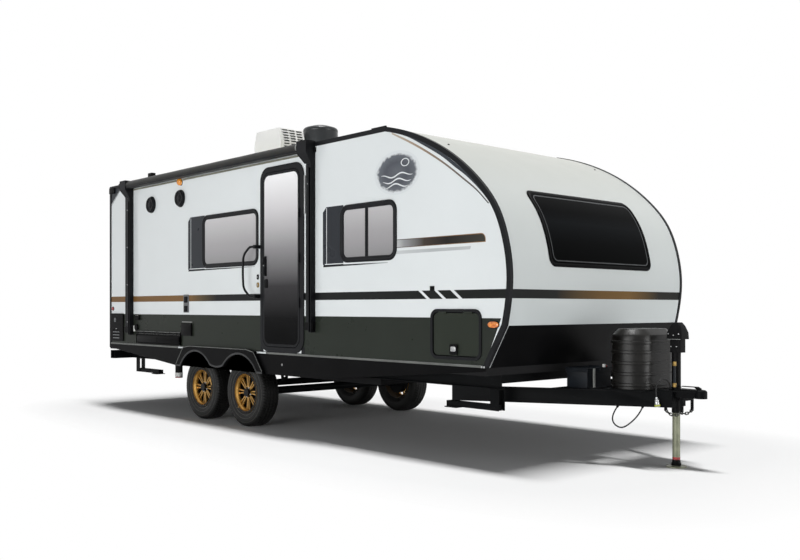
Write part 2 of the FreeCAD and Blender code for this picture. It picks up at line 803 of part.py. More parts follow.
def make_coupler():
    """The folded steel coupler with its ball socket, open below, its latch lever and the cable's gland."""
    bottom_z = coupler_top_z - coupler_height
    rear_y = tongue_line_y(coupler_rear_x)
    ball_x = coupler_nose_x - coupler_nose_radius
    plate = plan_slab([
        (coupler_rear_x, -rear_y), (tongue_front_x + cut_overrun, -coupler_plate_y),
        (ball_x, -coupler_nose_y), (ball_x, coupler_nose_y),
        (tongue_front_x + cut_overrun, coupler_plate_y), (coupler_rear_x, rear_y)],
        rail_bottom_z, rail_bottom_z + coupler_plate)
    neck = plan_slab([
        (tongue_front_x, -coupler_neck_y), (ball_x, -coupler_nose_y),
        (ball_x, coupler_nose_y), (tongue_front_x, coupler_neck_y)], bottom_z, coupler_top_z)
    radius, bend = coupler_nose_radius, coupler_dome_radius
    slant = bend * (1 - math.sqrt(1 / 2))
    outline = [(0, bottom_z), (radius, bottom_z), (radius, coupler_top_z - bend),
               (radius - slant, coupler_top_z - slant), (radius - bend, coupler_top_z), (0, coupler_top_z)]
    spots = [vec(ball_x + out, 0, z) for out, z in outline]
    edges = [Part.LineSegment(spots[0], spots[1]), Part.LineSegment(spots[1], spots[2]),
             Part.Arc(*spots[2:5]), Part.LineSegment(*spots[4:]), Part.LineSegment(spots[-1], spots[0])]
    face = Part.Face(Part.Wire([edge.toShape() for edge in edges]))
    head = face.revolve(vec(ball_x, 0, 0), vec(0, 0, 1), 360)
    socket = rod((ball_x, 0, bottom_z - cut_overrun), (ball_x, 0, bottom_z + ball_bore_depth), ball_bore_radius)
    lever_rear, lever_top = ball_x - latch_length, coupler_top_z + latch_height
    latch = slab([
        (ball_x - latch_width, coupler_top_z), (ball_x, coupler_top_z),
        (ball_x, coupler_top_z + latch_height / 2), (ball_x - latch_width, lever_top), (lever_rear, lever_top),
        (lever_rear, lever_top - latch_plate), (ball_x - latch_width * 2, lever_top - latch_plate)],
        -latch_width / 2, latch_width / 2)
    sleeve = rod((jack_x, 0, bottom_z - cut_overrun), (jack_x, 0, coupler_top_z + cut_overrun),
                 jack_leg_radius + bearing_clearance + jack_tube_wall)
    start, towards = [vec(*spot) for spot in plug_cable_route[:2]]
    gland = Part.makeCylinder(gland_radius, gland_height, vec(start.x, start.y, rail_bottom_z + coupler_plate))
    cable_seat = Part.makeCylinder(plug_cable_diameter / 2 + seat_gap, gland_height * 2,
                                   start - (towards - start).normalize() * seat_gap, towards - start)
    add("coupler", join([plate, neck, head, latch, gland]).cut(socket).cut(sleeve).cut(cable_seat))


def plan_ring(x, length, width, corner, z):
    """A rounded rectangle in a level plane, centred on the centreline."""
    wire = rounded_wire(-length / 2, length / 2, -width / 2, width / 2, corner, 0)
    wire.rotate(vec(0, 0, 0), vec(1, 0, 0), 90)
    wire.translate(vec(x, 0, z))
    return wire


def rounded_box(x, length, width, corner, z0, z1):
    """An upright box with rounded corners, centred on the centreline."""
    return Part.Face(plan_ring(x, length, width, corner, z0)).extrude(vec(0, 0, z1 - z0))


def make_jack():
    """Powered tongue jack: a fixed outer tube and head, and the leg that slides in the tube."""
    bore = jack_leg_radius + bearing_clearance
    outer = pipe((jack_x, 0, jack_tube_bottom_z), (jack_x, 0, jack_head_bottom_z),
                 bore + jack_tube_wall, bore)
    middle = jack_x + jack_hood_offset
    gear_case = rounded_box(middle, jack_case_size, jack_case_size, jack_corner,
                            jack_head_bottom_z, jack_hood_bottom_z)
    height = jack_head_top_z - jack_hood_bottom_z
    hood = []
    for (low, low_share), (high, high_share) in zip(jack_hood_shares, jack_hood_shares[1:]):
        rings = [plan_ring(middle, jack_hood_length * share, jack_hood_width * share, jack_corner * share,
                           jack_hood_bottom_z + height * rise)
                 for rise, share in ((low, low_share), (high, high_share))]
        hood.append(Part.makeLoft(rings, True, True))
    add("jack_housing", join([outer, gear_case] + hood))
    leg = rod((jack_x, 0, jack_drop_height), (jack_x, 0, jack_leg_top_z), jack_leg_radius)
    drop = rod((jack_x, 0, jack_foot_thickness), (jack_x, 0, jack_drop_height), jack_drop_radius)
    foot = rod((jack_x, 0, 0), (jack_x, 0, jack_foot_thickness), jack_foot_radius)
    add("jack_leg", join([leg, drop, foot]))


def make_window(side, rect):
    """Frame and pane of one side window, and the shape of its hole in the wall."""
    outer, inner = beyond(side, window_proud), beyond(side, -wall_thickness)
    face = beyond(side, 0)
    ring = rounded_ring(rect, 0, window_flange, window_corner, face, outer)
    neck = rounded_ring(rect, window_neck, window_flange, window_corner, inner, face)
    x0, x1, z0, z1 = rect
    bar_x = x0 + window_bar_x_share * (x1 - x0)
    bar = block(bar_x - window_bar_width / 2, bar_x + window_bar_width / 2,
                beyond(side, glass_setback), outer, z0 + window_flange, z1 - window_flange)
    frame = join([ring, neck, bar])
    pane = rounded_plate(rect, window_flange, window_corner, beyond(side, glass_setback - glass_thickness),
                         beyond(side, glass_setback))
    hole = rounded_plate(rect, window_neck, window_corner, beyond(side, -wall_thickness - cut_overrun),
                         beyond(side, cut_overrun))
    return frame, pane, hole


def make_side_walls():
    """The two side walls with their windows, and the holes for the door and the lockers."""
    walls = {}
    for side in (-1, 1):
        low, high = sorted((beyond(side, 0), beyond(side, -wall_thickness)))
        walls[side] = side_outline(0, low).extrude(vec(0, high - low, 0))
    windows = {-1: (aft_window, front_window), 1: (left_rear_window, left_front_window)}
    names = {-1: "right", 1: "left"}
    for side, rects in windows.items():
        frames, panes = [], []
        for rect in rects:
            frame, pane, hole = make_window(side, rect)
            frames.append(frame)
            panes.append(pane)
            walls[side] = walls[side].cut(hole)
        add("window_frames", *frames)
        add("window_glass", *panes)
        walls[side] = walls[side].cut(make_locker(side, names[side]))
    walls[-1] = walls[-1].cut(make_door())
    for side, name in names.items():
        add(name + "_side_wall", walls[side])


def make_locker(side, name):
    """Locker door, its frame and the hole in the wall. The lid is hinged along its top edge."""
    inner = beyond(side, -wall_thickness)
    face, outer = beyond(side, 0), beyond(side, locker_proud)
    lid_inset = locker_frame_width
    opening = lid_inset - locker_gap
    ring = rounded_ring(locker, 0, opening, locker_corner, face, outer)
    neck = rounded_ring(locker, opening - locker_gap * 2, opening, locker_corner, inner, face)
    hole = rounded_plate(locker, opening - locker_gap * 2, locker_corner,
                         beyond(side, -wall_thickness - cut_overrun), beyond(side, cut_overrun))
    x0, x1, z0, z1 = locker
    lid = rounded_plate(locker, lid_inset, locker_corner, inner, face)
    middle_x = (x0 + x1) / 2
    latch = block(middle_x - locker_latch_width / 2, middle_x + locker_latch_width / 2, face,
                  beyond(side, locker_latch_proud), z0 + lid_inset, z0 + lid_inset + locker_latch_height)
    hinge_z = z1 - lid_inset + locker_gap / 2
    knuckles, reliefs = [], []
    hinge_y = beyond(side, hinge_radius)
    hinge_in = (x1 - x0) * locker_hinge_share
    for x in (x0 + hinge_in, x1 - hinge_in):
        start, end = x - hinge_length / 2, x + hinge_length / 2
        knuckles.append(rod((start, hinge_y, hinge_z), (end, hinge_y, hinge_z), hinge_radius - hinge_gap))
        reliefs.append(rod((start - hinge_gap, hinge_y, hinge_z), (end + hinge_gap, hinge_y, hinge_z),
                           hinge_radius))
    body = ring
    for relief in reliefs:
        body = body.cut(relief)
    add("locker_frames", join([body, neck]))
    add(name + "_locker_door", join([lid, latch] + knuckles))
    return hole


def make_door():
    """Entry door hinged at its front edge, with its frame, hinges and lock."""
    face, inner = beyond(-1, 0), beyond(-1, -wall_thickness)
    outer = beyond(-1, door_proud)
    leaf_rect = (door_leaf_rear_x, door_leaf_front_x, door_leaf_bottom_z, door_leaf_top_z)
    flange = rounded_plate(door_frame_outer, 0, door_frame_corner, face, outer)
    jamb = rounded_plate(leaf_rect, -door_gap - door_jamb, door_leaf_corner, inner, face)
    clear = rounded_plate(leaf_rect, -door_gap, door_leaf_corner, inner + cut_overrun, outer - cut_overrun)
    hole = rounded_plate(leaf_rect, -door_gap - door_jamb, door_leaf_corner,
                         inner + cut_overrun, face - cut_overrun)
    hinge_x = door_leaf_front_x + door_gap / 2
    hinge_y = beyond(-1, door_proud + hinge_radius)
    leaf = rounded_plate(leaf_rect, 0, door_leaf_corner, inner, outer)
    panel_place = rounded_plate(leaf_rect, door_panel_border, door_leaf_corner,
                                outer + glass_thickness, outer - cut_overrun)
    panel = rounded_plate(leaf_rect, door_panel_border, door_leaf_corner, outer + glass_thickness, outer)
    knuckles = []
    height = door_leaf_top_z - door_leaf_bottom_z
    for number in range(hinge_count):
        z = door_leaf_bottom_z + height * (number + 1) / (hinge_count + 1)
        knuckles.append(rod((hinge_x, hinge_y, z - hinge_length / 2), (hinge_x, hinge_y, z + hinge_length / 2),
                            hinge_radius - hinge_gap))
    add("door_frame", join([join([flange, jamb]).cut(clear)] + knuckles))
    add("entry_door_leaf", leaf.cut(panel_place))
    add("entry_door_panel", panel)
    lock = block(lock_rear_x, lock_rear_x + lock_width, outer, outer - lock_proud, lock_bottom_z,
                 lock_bottom_z + lock_height)
    add("door_lock", lock)
    return hole


def make_grab_handle():
    """Grab handle, folded back from the door; its two ends turn on posts that stand on the wall."""
    face = beyond(-1, 0)
    top, bottom = grab_top_z, grab_bottom_z
    y = face - grab_out
    bend = grab_reach_x * grab_bend_share
    start_x = grab_hinge_x + grab_foot_radius + hinge_gap
    far_x = grab_hinge_x + grab_reach_x
    drop = bend * grab_corner_share
    bar = tube_along((
        (start_x, y, top), (start_x + bend, y, top), (far_x, y, top - bend - drop),
        (far_x + grab_radius, y, (top + bottom) / 2), (far_x, y, bottom + bend + drop),
        (start_x + bend, y, bottom), (start_x, y, bottom)), grab_radius * 2, "grab handle")
    bar.rotate(vec(grab_hinge_x, y, 0), vec(0, 0, 1), -grab_rest_turn)
    for z in (top, bottom):
        half = grab_foot_height / 2
        post = block(grab_hinge_x - grab_foot_radius, grab_hinge_x + grab_foot_radius, face, y,
                     z - half, z + half).fuse(rod((grab_hinge_x, y, z - half), (grab_hinge_x, y, z + half),
                                                  grab_foot_radius))
        add("grab_handle_posts", post.removeSplitter())
    add("grab_handle", bar)


def make_shell():
    """Roof, front cap, rear wall, floor with wheel wells, and the dark panel under the nose."""
    crown_top = vec(0, 0, roof_edge_z + roof_crown)
    roof_front = roof_end_x
    low = roof_edge_z - roof_thickness
    corners = [(-inner_half_width, low), (inner_half_width, low), (inner_half_width, roof_edge_z)]
    spots = [vec(rear_x, y, z) for y, z in corners]
    left_top = spots[2]
    right_top = vec(rear_x, -inner_half_width, roof_edge_z)
    middle = vec(rear_x, crown_top.y, crown_top.z)
    edges = [Part.LineSegment(spots[0], spots[1]).toShape(), Part.LineSegment(spots[1], left_top).toShape(),
             Part.Arc(left_top, middle, right_top).toShape(), Part.LineSegment(right_top, spots[0]).toShape()]
    roof = Part.Face(Part.Wire(edges)).extrude(vec(roof_front - rear_x, 0, 0))
    crest_z = roof_edge_z + roof_crown
    slope_cut = slab([
        (roof_front - roof_slope_length, crest_z + cut_overrun), (roof_front - roof_slope_length, crest_z),
        (roof_front, roof_edge_z), (roof_front + cut_overrun, roof_edge_z),
        (roof_front + cut_overrun, crest_z + cut_overrun)],
        -half_width, half_width)
    add("roof_panel", roof.cut(slope_cut))

    outer_curve, outer_top, outer_chin = nose_curve(0)
    inner_curve, inner_top, inner_chin = nose_curve(cap_thickness)
    cap_edges = [outer_curve.toShape(), Part.LineSegment(outer_chin, inner_chin).toShape(),
                 inner_curve.toShape(), Part.LineSegment(inner_top, outer_top).toShape()]
    cap_face = Part.Face(Part.Wire(Part.__sortEdges__(cap_edges)))
    cap_face.translate(vec(0, -inner_half_width, 0))
    cap = cap_face.extrude(vec(0, 2 * inner_half_width, 0))
    roof_block = block(rear_x, roof_end_x, -inner_half_width, inner_half_width,
                       roof_edge_z - roof_thickness, roof_edge_z)
    cap = cap.cut(roof_block)
    window = nose_window_solids()
    add("front_cap", cap.cut(window["hole"]))
    add("window_frames", window["frame"])
    add("window_glass", window["glass"])

    chin_top_z = outer_chin.z
    panel = slab([
        (floor_front_x, wall_bottom_z), (outer_chin.x, chin_top_z), (inner_chin.x, inner_chin.z),
        (chin_x(lower_nose_thickness, wall_bottom_z), wall_bottom_z)], -inner_half_width, inner_half_width)
    add("lower_nose_panel", panel)

    add("rear_wall", block(rear_x, rear_x + wall_thickness, -inner_half_width, inner_half_width,
                           wall_bottom_z, roof_edge_z - roof_thickness))

    floor = block(rear_x, floor_front_x, -half_width, half_width, floor_bottom_z, wall_bottom_z)
    wells = []
    for side in (-1, 1):
        floor = floor.cut(block(-well_half_length, well_half_length, side * well_inner_y,
                                beyond(side, cut_overrun), floor_bottom_z - cut_overrun,
                                wall_bottom_z + cut_overrun))
        outer = join([
            block(-well_half_length, well_half_length, side * well_inner_y, side * inner_half_width,
                  floor_bottom_z, well_top_z),
            block(-well_half_length, well_half_length, side * well_inner_y, beyond(side, 0),
                  floor_bottom_z, wall_bottom_z)])
        inside = block(-well_half_length + well_wall, well_half_length - well_wall,
                       side * (well_inner_y + well_wall), beyond(side, cut_overrun),
                       floor_bottom_z - cut_overrun, well_top_z - well_wall)
        wells.append(outer.cut(inside))
    add("floor_deck", floor)
    add("wheel_wells", *wells)


def nose_window_solids():
    """The front window follows the curve of the cap; its panes and frame are bands of that curve."""
    half = nose_window_half_width
    border = nose_window_frame

    def band(inset_out, inset_in, half_y, low_z, high_z):
        outer, outer_top, outer_chin = nose_curve(inset_out)
        inner, inner_top, inner_chin = nose_curve(inset_in)
        edges = [outer.toShape(), Part.LineSegment(outer_chin, inner_chin).toShape(), inner.toShape(),
                 Part.LineSegment(inner_top, outer_top).toShape()]
        face = Part.Face(Part.Wire(Part.__sortEdges__(edges)))
        face.translate(vec(0, -half_y, 0))
        strip = face.extrude(vec(0, 2 * half_y, 0))
        return strip.common(block(roof_end_x, nose_tip_x + nose_window_proud, -half_y, half_y, low_z, high_z))

    low, high = nose_window_bottom_z, nose_window_top_z
    hole = band(-cut_overrun, cap_thickness + cut_overrun, half - border, low + border, high - border)
    pane = band(0, glass_thickness, half - border, low + border, high - border)
    ring = band(-nose_window_proud, 0, half, low, high)
    opening = band(-nose_window_proud - cut_overrun, cut_overrun, half - border, low + border, high - border)
    return {"hole": hole, "glass": pane, "frame": ring.cut(opening)}


def make_trim():
    """Edge trim round the sides of the shell, bright strips along the bottom and the roof rails."""
    ring_out = side_outline(-edge_trim_proud, 0)
    for side in (-1, 1):
        wrap_y, face_y, outer_y = beyond(side, -edge_trim_wrap), beyond(side, 0), beyond(side, edge_trim_proud)
        outside = ring_out.copy()
        outside.translate(vec(0, wrap_y, 0))
        outside = outside.extrude(vec(0, outer_y - wrap_y, 0))
        within = side_outline(0, wrap_y).extrude(vec(0, face_y - wrap_y, 0))
        centre = side_outline(edge_trim_width, face_y).extrude(vec(0, outer_y - face_y, 0))
        below = block(rear_x - edge_trim_width, nose_tip_x + edge_trim_width, wrap_y, outer_y,
                      wall_bottom_z - edge_trim_width, wall_bottom_z)
        trim = outside.cut(within).cut(centre).cut(below)
        add("edge_trim", trim)
        strip_front = chin_x(edge_trim_width, wall_bottom_z)
        strip = block(rear_x + edge_trim_width, strip_front, face_y, beyond(side, lower_trim_proud),
                      wall_bottom_z, wall_bottom_z + lower_trim_height)
        gap_x0, gap_x1 = -fender_half_length, fender_half_length
        strip = strip.cut(block(gap_x0, gap_x1, face_y, beyond(side, lower_trim_proud),
                                wall_bottom_z, wall_bottom_z + lower_trim_height))
        if side < 0:
            x0, x1, z0, z1 = door_frame_outer
            strip = strip.cut(block(x0, x1, face_y, beyond(side, lower_trim_proud), z0, z1))
        add("lower_trim", strip)


def fender_outline_solid(side, depth, inset=0.0):
    """The fender's outline with its two wheel arches, from the wall's face outwards."""
    centre = axle_spacing / 2
    rise = fender_lobe_join_z - tyre_radius
    join_x = centre - math.sqrt(arch_radius ** 2 - rise ** 2)
    foot_z = skirt_deep_bottom_z
    foot_x = centre + math.sqrt(arch_radius ** 2 - (foot_z - tyre_radius) ** 2)
    y = beyond(side, 0)
    peak_z = tyre_radius + arch_radius

    def at(x, z):
        return vec(x, y, z)

    line, arc = Part.LineSegment, Part.Arc
    edges = [
        line(at(-fender_half_length, foot_z), at(-fender_shoulder_x, fender_shoulder_z)),
        line(at(-fender_shoulder_x, fender_shoulder_z), at(-fender_flat_x, fender_top_z)),
        line(at(-fender_flat_x, fender_top_z), at(fender_flat_x, fender_top_z)),
        line(at(fender_flat_x, fender_top_z), at(fender_shoulder_x, fender_shoulder_z)),
        line(at(fender_shoulder_x, fender_shoulder_z), at(fender_half_length, foot_z)),
        line(at(fender_half_length, foot_z), at(foot_x, foot_z)),
        arc(at(foot_x, foot_z), at(centre, peak_z), at(join_x, fender_lobe_join_z)),
        arc(at(join_x, fender_lobe_join_z), at(0, fender_lobe_bottom_z), at(-join_x, fender_lobe_join_z)),
        arc(at(-join_x, fender_lobe_join_z), at(-centre, peak_z), at(-foot_x, foot_z)),
        line(at(-foot_x, foot_z), at(-fender_half_length, foot_z))]
    wire = Part.Wire([edge.toShape() for edge in edges])
    if inset:
        wire = wire.makeOffset2D(-inset)
    return Part.Face(wire).extrude(vec(0, side * depth, 0))


def make_skirts():
    """Fenders and lower skirts of both sides."""
    right_fender = fender_outline_solid(-1, fender_depth)
    hollow = fender_outline_solid(-1, fender_depth - fender_skin, fender_skin)
    right_fender = right_fender.cut(hollow)
    full = fender_outline_solid(-1, fender_depth)
    face, outer = beyond(-1, 0), beyond(-1, skirt_thickness)
    lip = beyond(-1, -skirt_lip)
    rear_line = [(rear_x, wall_bottom_z), (rear_x, skirt_rear_bottom_z),
                 (-fender_half_length, skirt_deep_bottom_z), (-fender_shoulder_x, wall_bottom_z)]
    front_line = [(fender_shoulder_x, wall_bottom_z), (fender_half_length, skirt_deep_bottom_z),
                  (skirt_front_flat_end_x, skirt_deep_bottom_z), (floor_front_x, skirt_front_bottom_z),
                  (floor_front_x, wall_bottom_z)]
    rear = slab(rear_line, face, outer).cut(full)
    front = slab(front_line, face, outer).cut(full)
    front_lip = slab([
        (fender_half_length, skirt_deep_bottom_z), (skirt_front_flat_end_x, skirt_deep_bottom_z),
        (floor_front_x, skirt_front_bottom_z),
        (floor_front_x, skirt_front_bottom_z + skirt_thickness),
        (skirt_front_flat_end_x, skirt_deep_bottom_z + skirt_thickness),
        (fender_half_length, skirt_deep_bottom_z + skirt_thickness)], face, lip)
    below_floor = block(rear_x, floor_front_x, face, lip, floor_bottom_z, wall_bottom_z)
    front = join([front, front_lip.cut(below_floor)])
    for name, shapes in (("fenders", [right_fender]), ("skirts", [rear, front])):
        add(name, *shapes)
        add(name, *[mirrored(shape) for shape in shapes])


def make_awning():
    """Rolled awning along the right side, held by two housings on folded arms with their struts."""
    y = beyond(-1, awning_standoff)
    rear_end, front_end = awning_rear_x - awning_cap_length, awning_front_x + awning_cap_length

    def along_roller(start, end, radius):
        return rod((start, y, awning_z), (end, y, awning_z), radius)

    add("awning_roller", join([
        along_roller(awning_rear_x, awning_front_x, awning_radius),
        along_roller(rear_end, awning_rear_x, awning_cap_radius),
        along_roller(awning_front_x, front_end, awning_cap_radius)]))
    seats = join([along_roller(awning_rear_x, awning_front_x, awning_radius + seat_gap),
                  along_roller(awning_front_x, front_end + seat_gap, awning_cap_radius + seat_gap)])
    face, arm_face = beyond(-1, 0), beyond(-1, arm_depth)
    outer = beyond(-1, awning_housing_depth)
    top, flat_end, foot = awning_z + housing_rise, awning_z - housing_rise, awning_z - housing_drop
    profile = polygon_face([(rear_x, face, foot), (rear_x, arm_face, foot), (rear_x, outer, flat_end),
                            (rear_x, outer, top), (rear_x, face, top)]).extrude(vec(-2 * rear_x, 0, 0))
    over_trim = block(rear_x, -rear_x, face, beyond(-1, edge_trim_proud), roof_edge_z - edge_trim_width,
                      roof_edge_z + edge_trim_proud)
    arms = []
    for x, bottom_z in ((rear_arm_x, rear_arm_bottom_z), (front_arm_x, front_arm_bottom_z)):
        front = x + arm_width / 2
        rear = front - housing_length
        outline = [(front, foot), (front, top), (rear, top), (rear, flat_end),
                   (front - housing_foot_length, foot)]
        housing = slab(outline, face, outer).common(profile)
        shell = block(x - arm_width / 2, front, face, arm_face, bottom_z, foot)
        inside = block(x - arm_width / 2 + arm_channel_wall, front - arm_channel_wall,
                       beyond(-1, arm_channel_wall), beyond(-1, arm_depth + cut_overrun),
                       bottom_z + arm_channel_wall, foot - arm_width)
        strut_x, strut_y = x - strut_offset, beyond(-1, arm_depth / 2)
        strut_top, strut_bottom = foot - strut_rod_length, bottom_z + strut_foot_height
        reach = strut_tube_radius
        pieces = [housing, shell.cut(inside),
                  rod((strut_x, strut_y, strut_bottom), (strut_x, strut_y, strut_top), strut_tube_radius),
                  rod((strut_x, strut_y, strut_top), (strut_x, strut_y, foot), strut_rod_radius),
                  block(strut_x - reach, x - arm_width / 2, strut_y - reach, strut_y + reach,
                        strut_bottom - reach, strut_bottom + reach)]
        arms.append(join(pieces).cut(seats).cut(over_trim))
    add("awning_arms", *arms)


def make_roof_kit():
    """Domed vent cover, louvred refrigerator vent and two pipe vents on the crowned roof."""
    def roof_z(y):
        return roof_edge_z + roof_crown * (1 - (y / inner_half_width) ** 2)

    base = roof_z(dome_y) - roof_crown
    top = roof_z(dome_y) + dome_height
    shoulder_z, shoulder = top - dome_crown, dome_radius * dome_taper_share
    knee_z, knee = shoulder_z - dome_knee, shoulder + dome_knee * (1 - dome_taper_share)
    sphere = (shoulder ** 2 + dome_crown ** 2) / (2 * dome_crown)
    inner_r = shoulder - dome_knee
    inner_z = top - sphere + math.sqrt(sphere ** 2 - inner_r ** 2)
    half_r = inner_r / 2
    half_z = top - sphere + math.sqrt(sphere ** 2 - half_r ** 2)
    spots = [vec(dome_x + r, dome_y, z) for r, z in (
        (0, base), (dome_radius, base), (knee, knee_z), (shoulder, shoulder_z), (inner_r, inner_z),
        (half_r, half_z), (0, top))]
    edges = [Part.LineSegment(spots[0], spots[1]), Part.LineSegment(spots[1], spots[2]),
             Part.Arc(spots[2], spots[3], spots[4]), Part.Arc(spots[4], spots[5], spots[6]),
             Part.LineSegment(spots[6], spots[0])]
    face = Part.Face(Part.Wire([edge.toShape() for edge in edges]))
    dome = face.revolve(vec(dome_x, dome_y, 0), vec(0, 0, 1), 360)
    roof = nodes["roof_panel"][0]
    add("roof_dome", dome.cut(roof))

    z0 = roof_z(vent_y) - roof_crown
    z1 = roof_z(vent_y) + vent_height
    knee_z = z1 - vent_slope_height
    front = vent_x + vent_length / 2
    back = vent_x - vent_length / 2
    y0, y1 = vent_y - vent_width / 2, vent_y + vent_width / 2
    shell = slab([
        (back, z0), (front, z0), (front, knee_z), (front - vent_slope_run, z1), (back + vent_slope_run, z1),
        (back, knee_z)], y0, y1)
    run, rise = -vent_slope_run, vent_slope_height
    slots = []
    bar = vent_width * vent_bar_share
    slot_length = (vent_width - bar * (vent_columns + 1)) / vent_columns
    for row in range(vent_rows):
        low, high = [(row + vent_slot_shares[i]) / vent_rows for i in (0, 1)]
        for column in range(vent_columns):
            start = y0 + bar + column * (slot_length + bar)
            slots.append(slab([
                (front + run * low + vent_slot_depth, knee_z + rise * low),
                (front + run * high + vent_slot_depth, knee_z + rise * high),
                (front + run * high - vent_slot_depth, knee_z + rise * high),
                (front + run * low - vent_slot_depth, knee_z + rise * low)], start, start + slot_length))
    for slot in slots:
        shell = shell.cut(slot)
    add("roof_vents", shell.cut(roof))
    pipe_z = roof_z(pipe_vent_y)
    vents = [rod((x, pipe_vent_y, pipe_z - roof_crown), (x, pipe_vent_y, pipe_z + pipe_vent_height),
                 pipe_vent_radius).cut(roof) for x in (pipe_vent_x, pipe_vent_x + pipe_vent_spacing)]
    add("roof_vents", *vents)


def stadium(x, length, width, z0, z1):
    """A plan with two round ends, its long side along y, between two heights."""
    radius = length / 2
    reach = width / 2 - radius
    line, arc = Part.LineSegment, Part.Arc
    edges = [
        line(vec(x - radius, -reach, z0), vec(x - radius, reach, z0)),
        arc(vec(x - radius, reach, z0), vec(x, reach + radius, z0), vec(x + radius, reach, z0)),
        line(vec(x + radius, reach, z0), vec(x + radius, -reach, z0)),
        arc(vec(x + radius, -reach, z0), vec(x, -reach - radius, z0), vec(x - radius, -reach, z0))]
    wire = Part.Wire([edge.toShape() for edge in edges])
    if z0 == z1:
        return wire
    return Part.Face(wire).extrude(vec(0, 0, z1 - z0))


def make_tongue_load():
    """Gas bottle cover with its ribs, and the battery box behind it."""
    slim_length, slim_width = cover_length - 2 * cover_rib, cover_width - 2 * cover_rib
    shoulder_z = cover_top_z - cover_shoulder
    drum = stadium(cover_x, slim_length, slim_width, cover_bottom_z, shoulder_z)
    ribs = []
    for share in cover_rib_shares:
        z = cover_bottom_z + share * (shoulder_z - cover_bottom_z)
        ribs.append(stadium(cover_x, cover_length, cover_width, z, z + cover_rib_height))
    top = Part.makeLoft([
        stadium(cover_x, slim_length, slim_width, shoulder_z, shoulder_z),
        stadium(cover_x, slim_length - cover_shoulder * 2, slim_width - cover_shoulder * 2, cover_top_z,
                cover_top_z)], True, True)
    add("gas_bottle_cover", join([drum, top] + ribs))
    tray = block(cover_x - cover_length / 2, cover_x + cover_length / 2, -cover_width / 2, cover_width / 2,
                 rail_bottom_z, cover_bottom_z)
    nodes["tongue_frame"] = [join(nodes["tongue_frame"] + [tray])]

    x0, x1 = battery_x, battery_x + battery_length
    y0, y1 = battery_rear_y, battery_rear_y + battery_width
    z0 = rail_bottom_z
    z1 = z0 + battery_height
    box = block(x0 + battery_lip, x1 - battery_lip, y0 + battery_lip, y1 - battery_lip, z0, z1)
    top = z1 + battery_lid
    lid = block(x0, x1, y0, y1, z1, top)
    middle_y = (y0 + y1) / 2
    strap_y = (middle_y - battery_strap_width / 2, middle_y + battery_strap_width / 2)
    strap = block(x0 - battery_strap, x1 + battery_strap, *strap_y, z1, top + battery_strap)
    add("battery_box", join([box, lid, strap]))
    cross_x = [tongue_rear_x + share * (tongue_front_x - tongue_rear_x) for share in tongue_cross_x_shares]
    carriers = [block(*cross_x, low, low + battery_carrier, rail_bottom_z - battery_strap * 2, rail_bottom_z)
                for low in (y0 + battery_lip, y1 - battery_lip - battery_carrier)]
    nodes["tongue_frame"] = [join(nodes["tongue_frame"] + carriers)]


def make_stabilisers():
    """Four swing-down corner legs, folded up flat under the rails as when the trailer is towed."""
    pin_z = tongue_bottom_z - stabiliser_clearance - stabiliser_leg_height / 2
    half = stabiliser_width / 2
    for side, side_name in ((-1, "right"), (1, "left")):
        for x, towards, end_name in ((stabiliser_front_x, -1, "front"), (stabiliser_rear_x, 1, "rear")):
            y = side * (rail_outer_y - rail_flange / 2)
            pin = (x, y, pin_z)
            cheeks = [block(x - stabiliser_leg_height, x + stabiliser_leg_height, y + s * half,
                            y + s * (half - stabiliser_plate), pin_z - stabiliser_leg_height / 2,
                            rail_bottom_z - stabiliser_plate) for s in (-1, 1)]
            cap = block(x - stabiliser_leg_height, x + stabiliser_leg_height, y - half, y + half,
                        rail_bottom_z - stabiliser_plate, rail_bottom_z)
            pin_rod = rod((x, y - half, pin_z), (x, y + half, pin_z), stabiliser_pin_radius)
            name = side_name + "_" + end_name + "_stabiliser"
            add("stabiliser_brackets", join(cheeks + [cap, pin_rod]))
            leg_half = half - stabiliser_plate - hinge_gap
            far = x + towards * stabiliser_leg_length
            leg = block(x - towards * stabiliser_leg_height / 2, far, y - leg_half, y + leg_half,
                        pin_z - stabiliser_leg_height / 2, pin_z + stabiliser_leg_height / 2)
            eye = rod((x, y - half, pin_z), (x, y + half, pin_z), stabiliser_pin_radius + bearing_clearance)
            foot_z = pin_z - stabiliser_leg_height / 2
            foot = block(far - towards * stabiliser_foot_length, far, y - stabiliser_foot_width / 2,
                         y + stabiliser_foot_width / 2, foot_z - stabiliser_foot_thickness, foot_z)
            add(name + "_leg", join([leg, foot]).cut(eye))


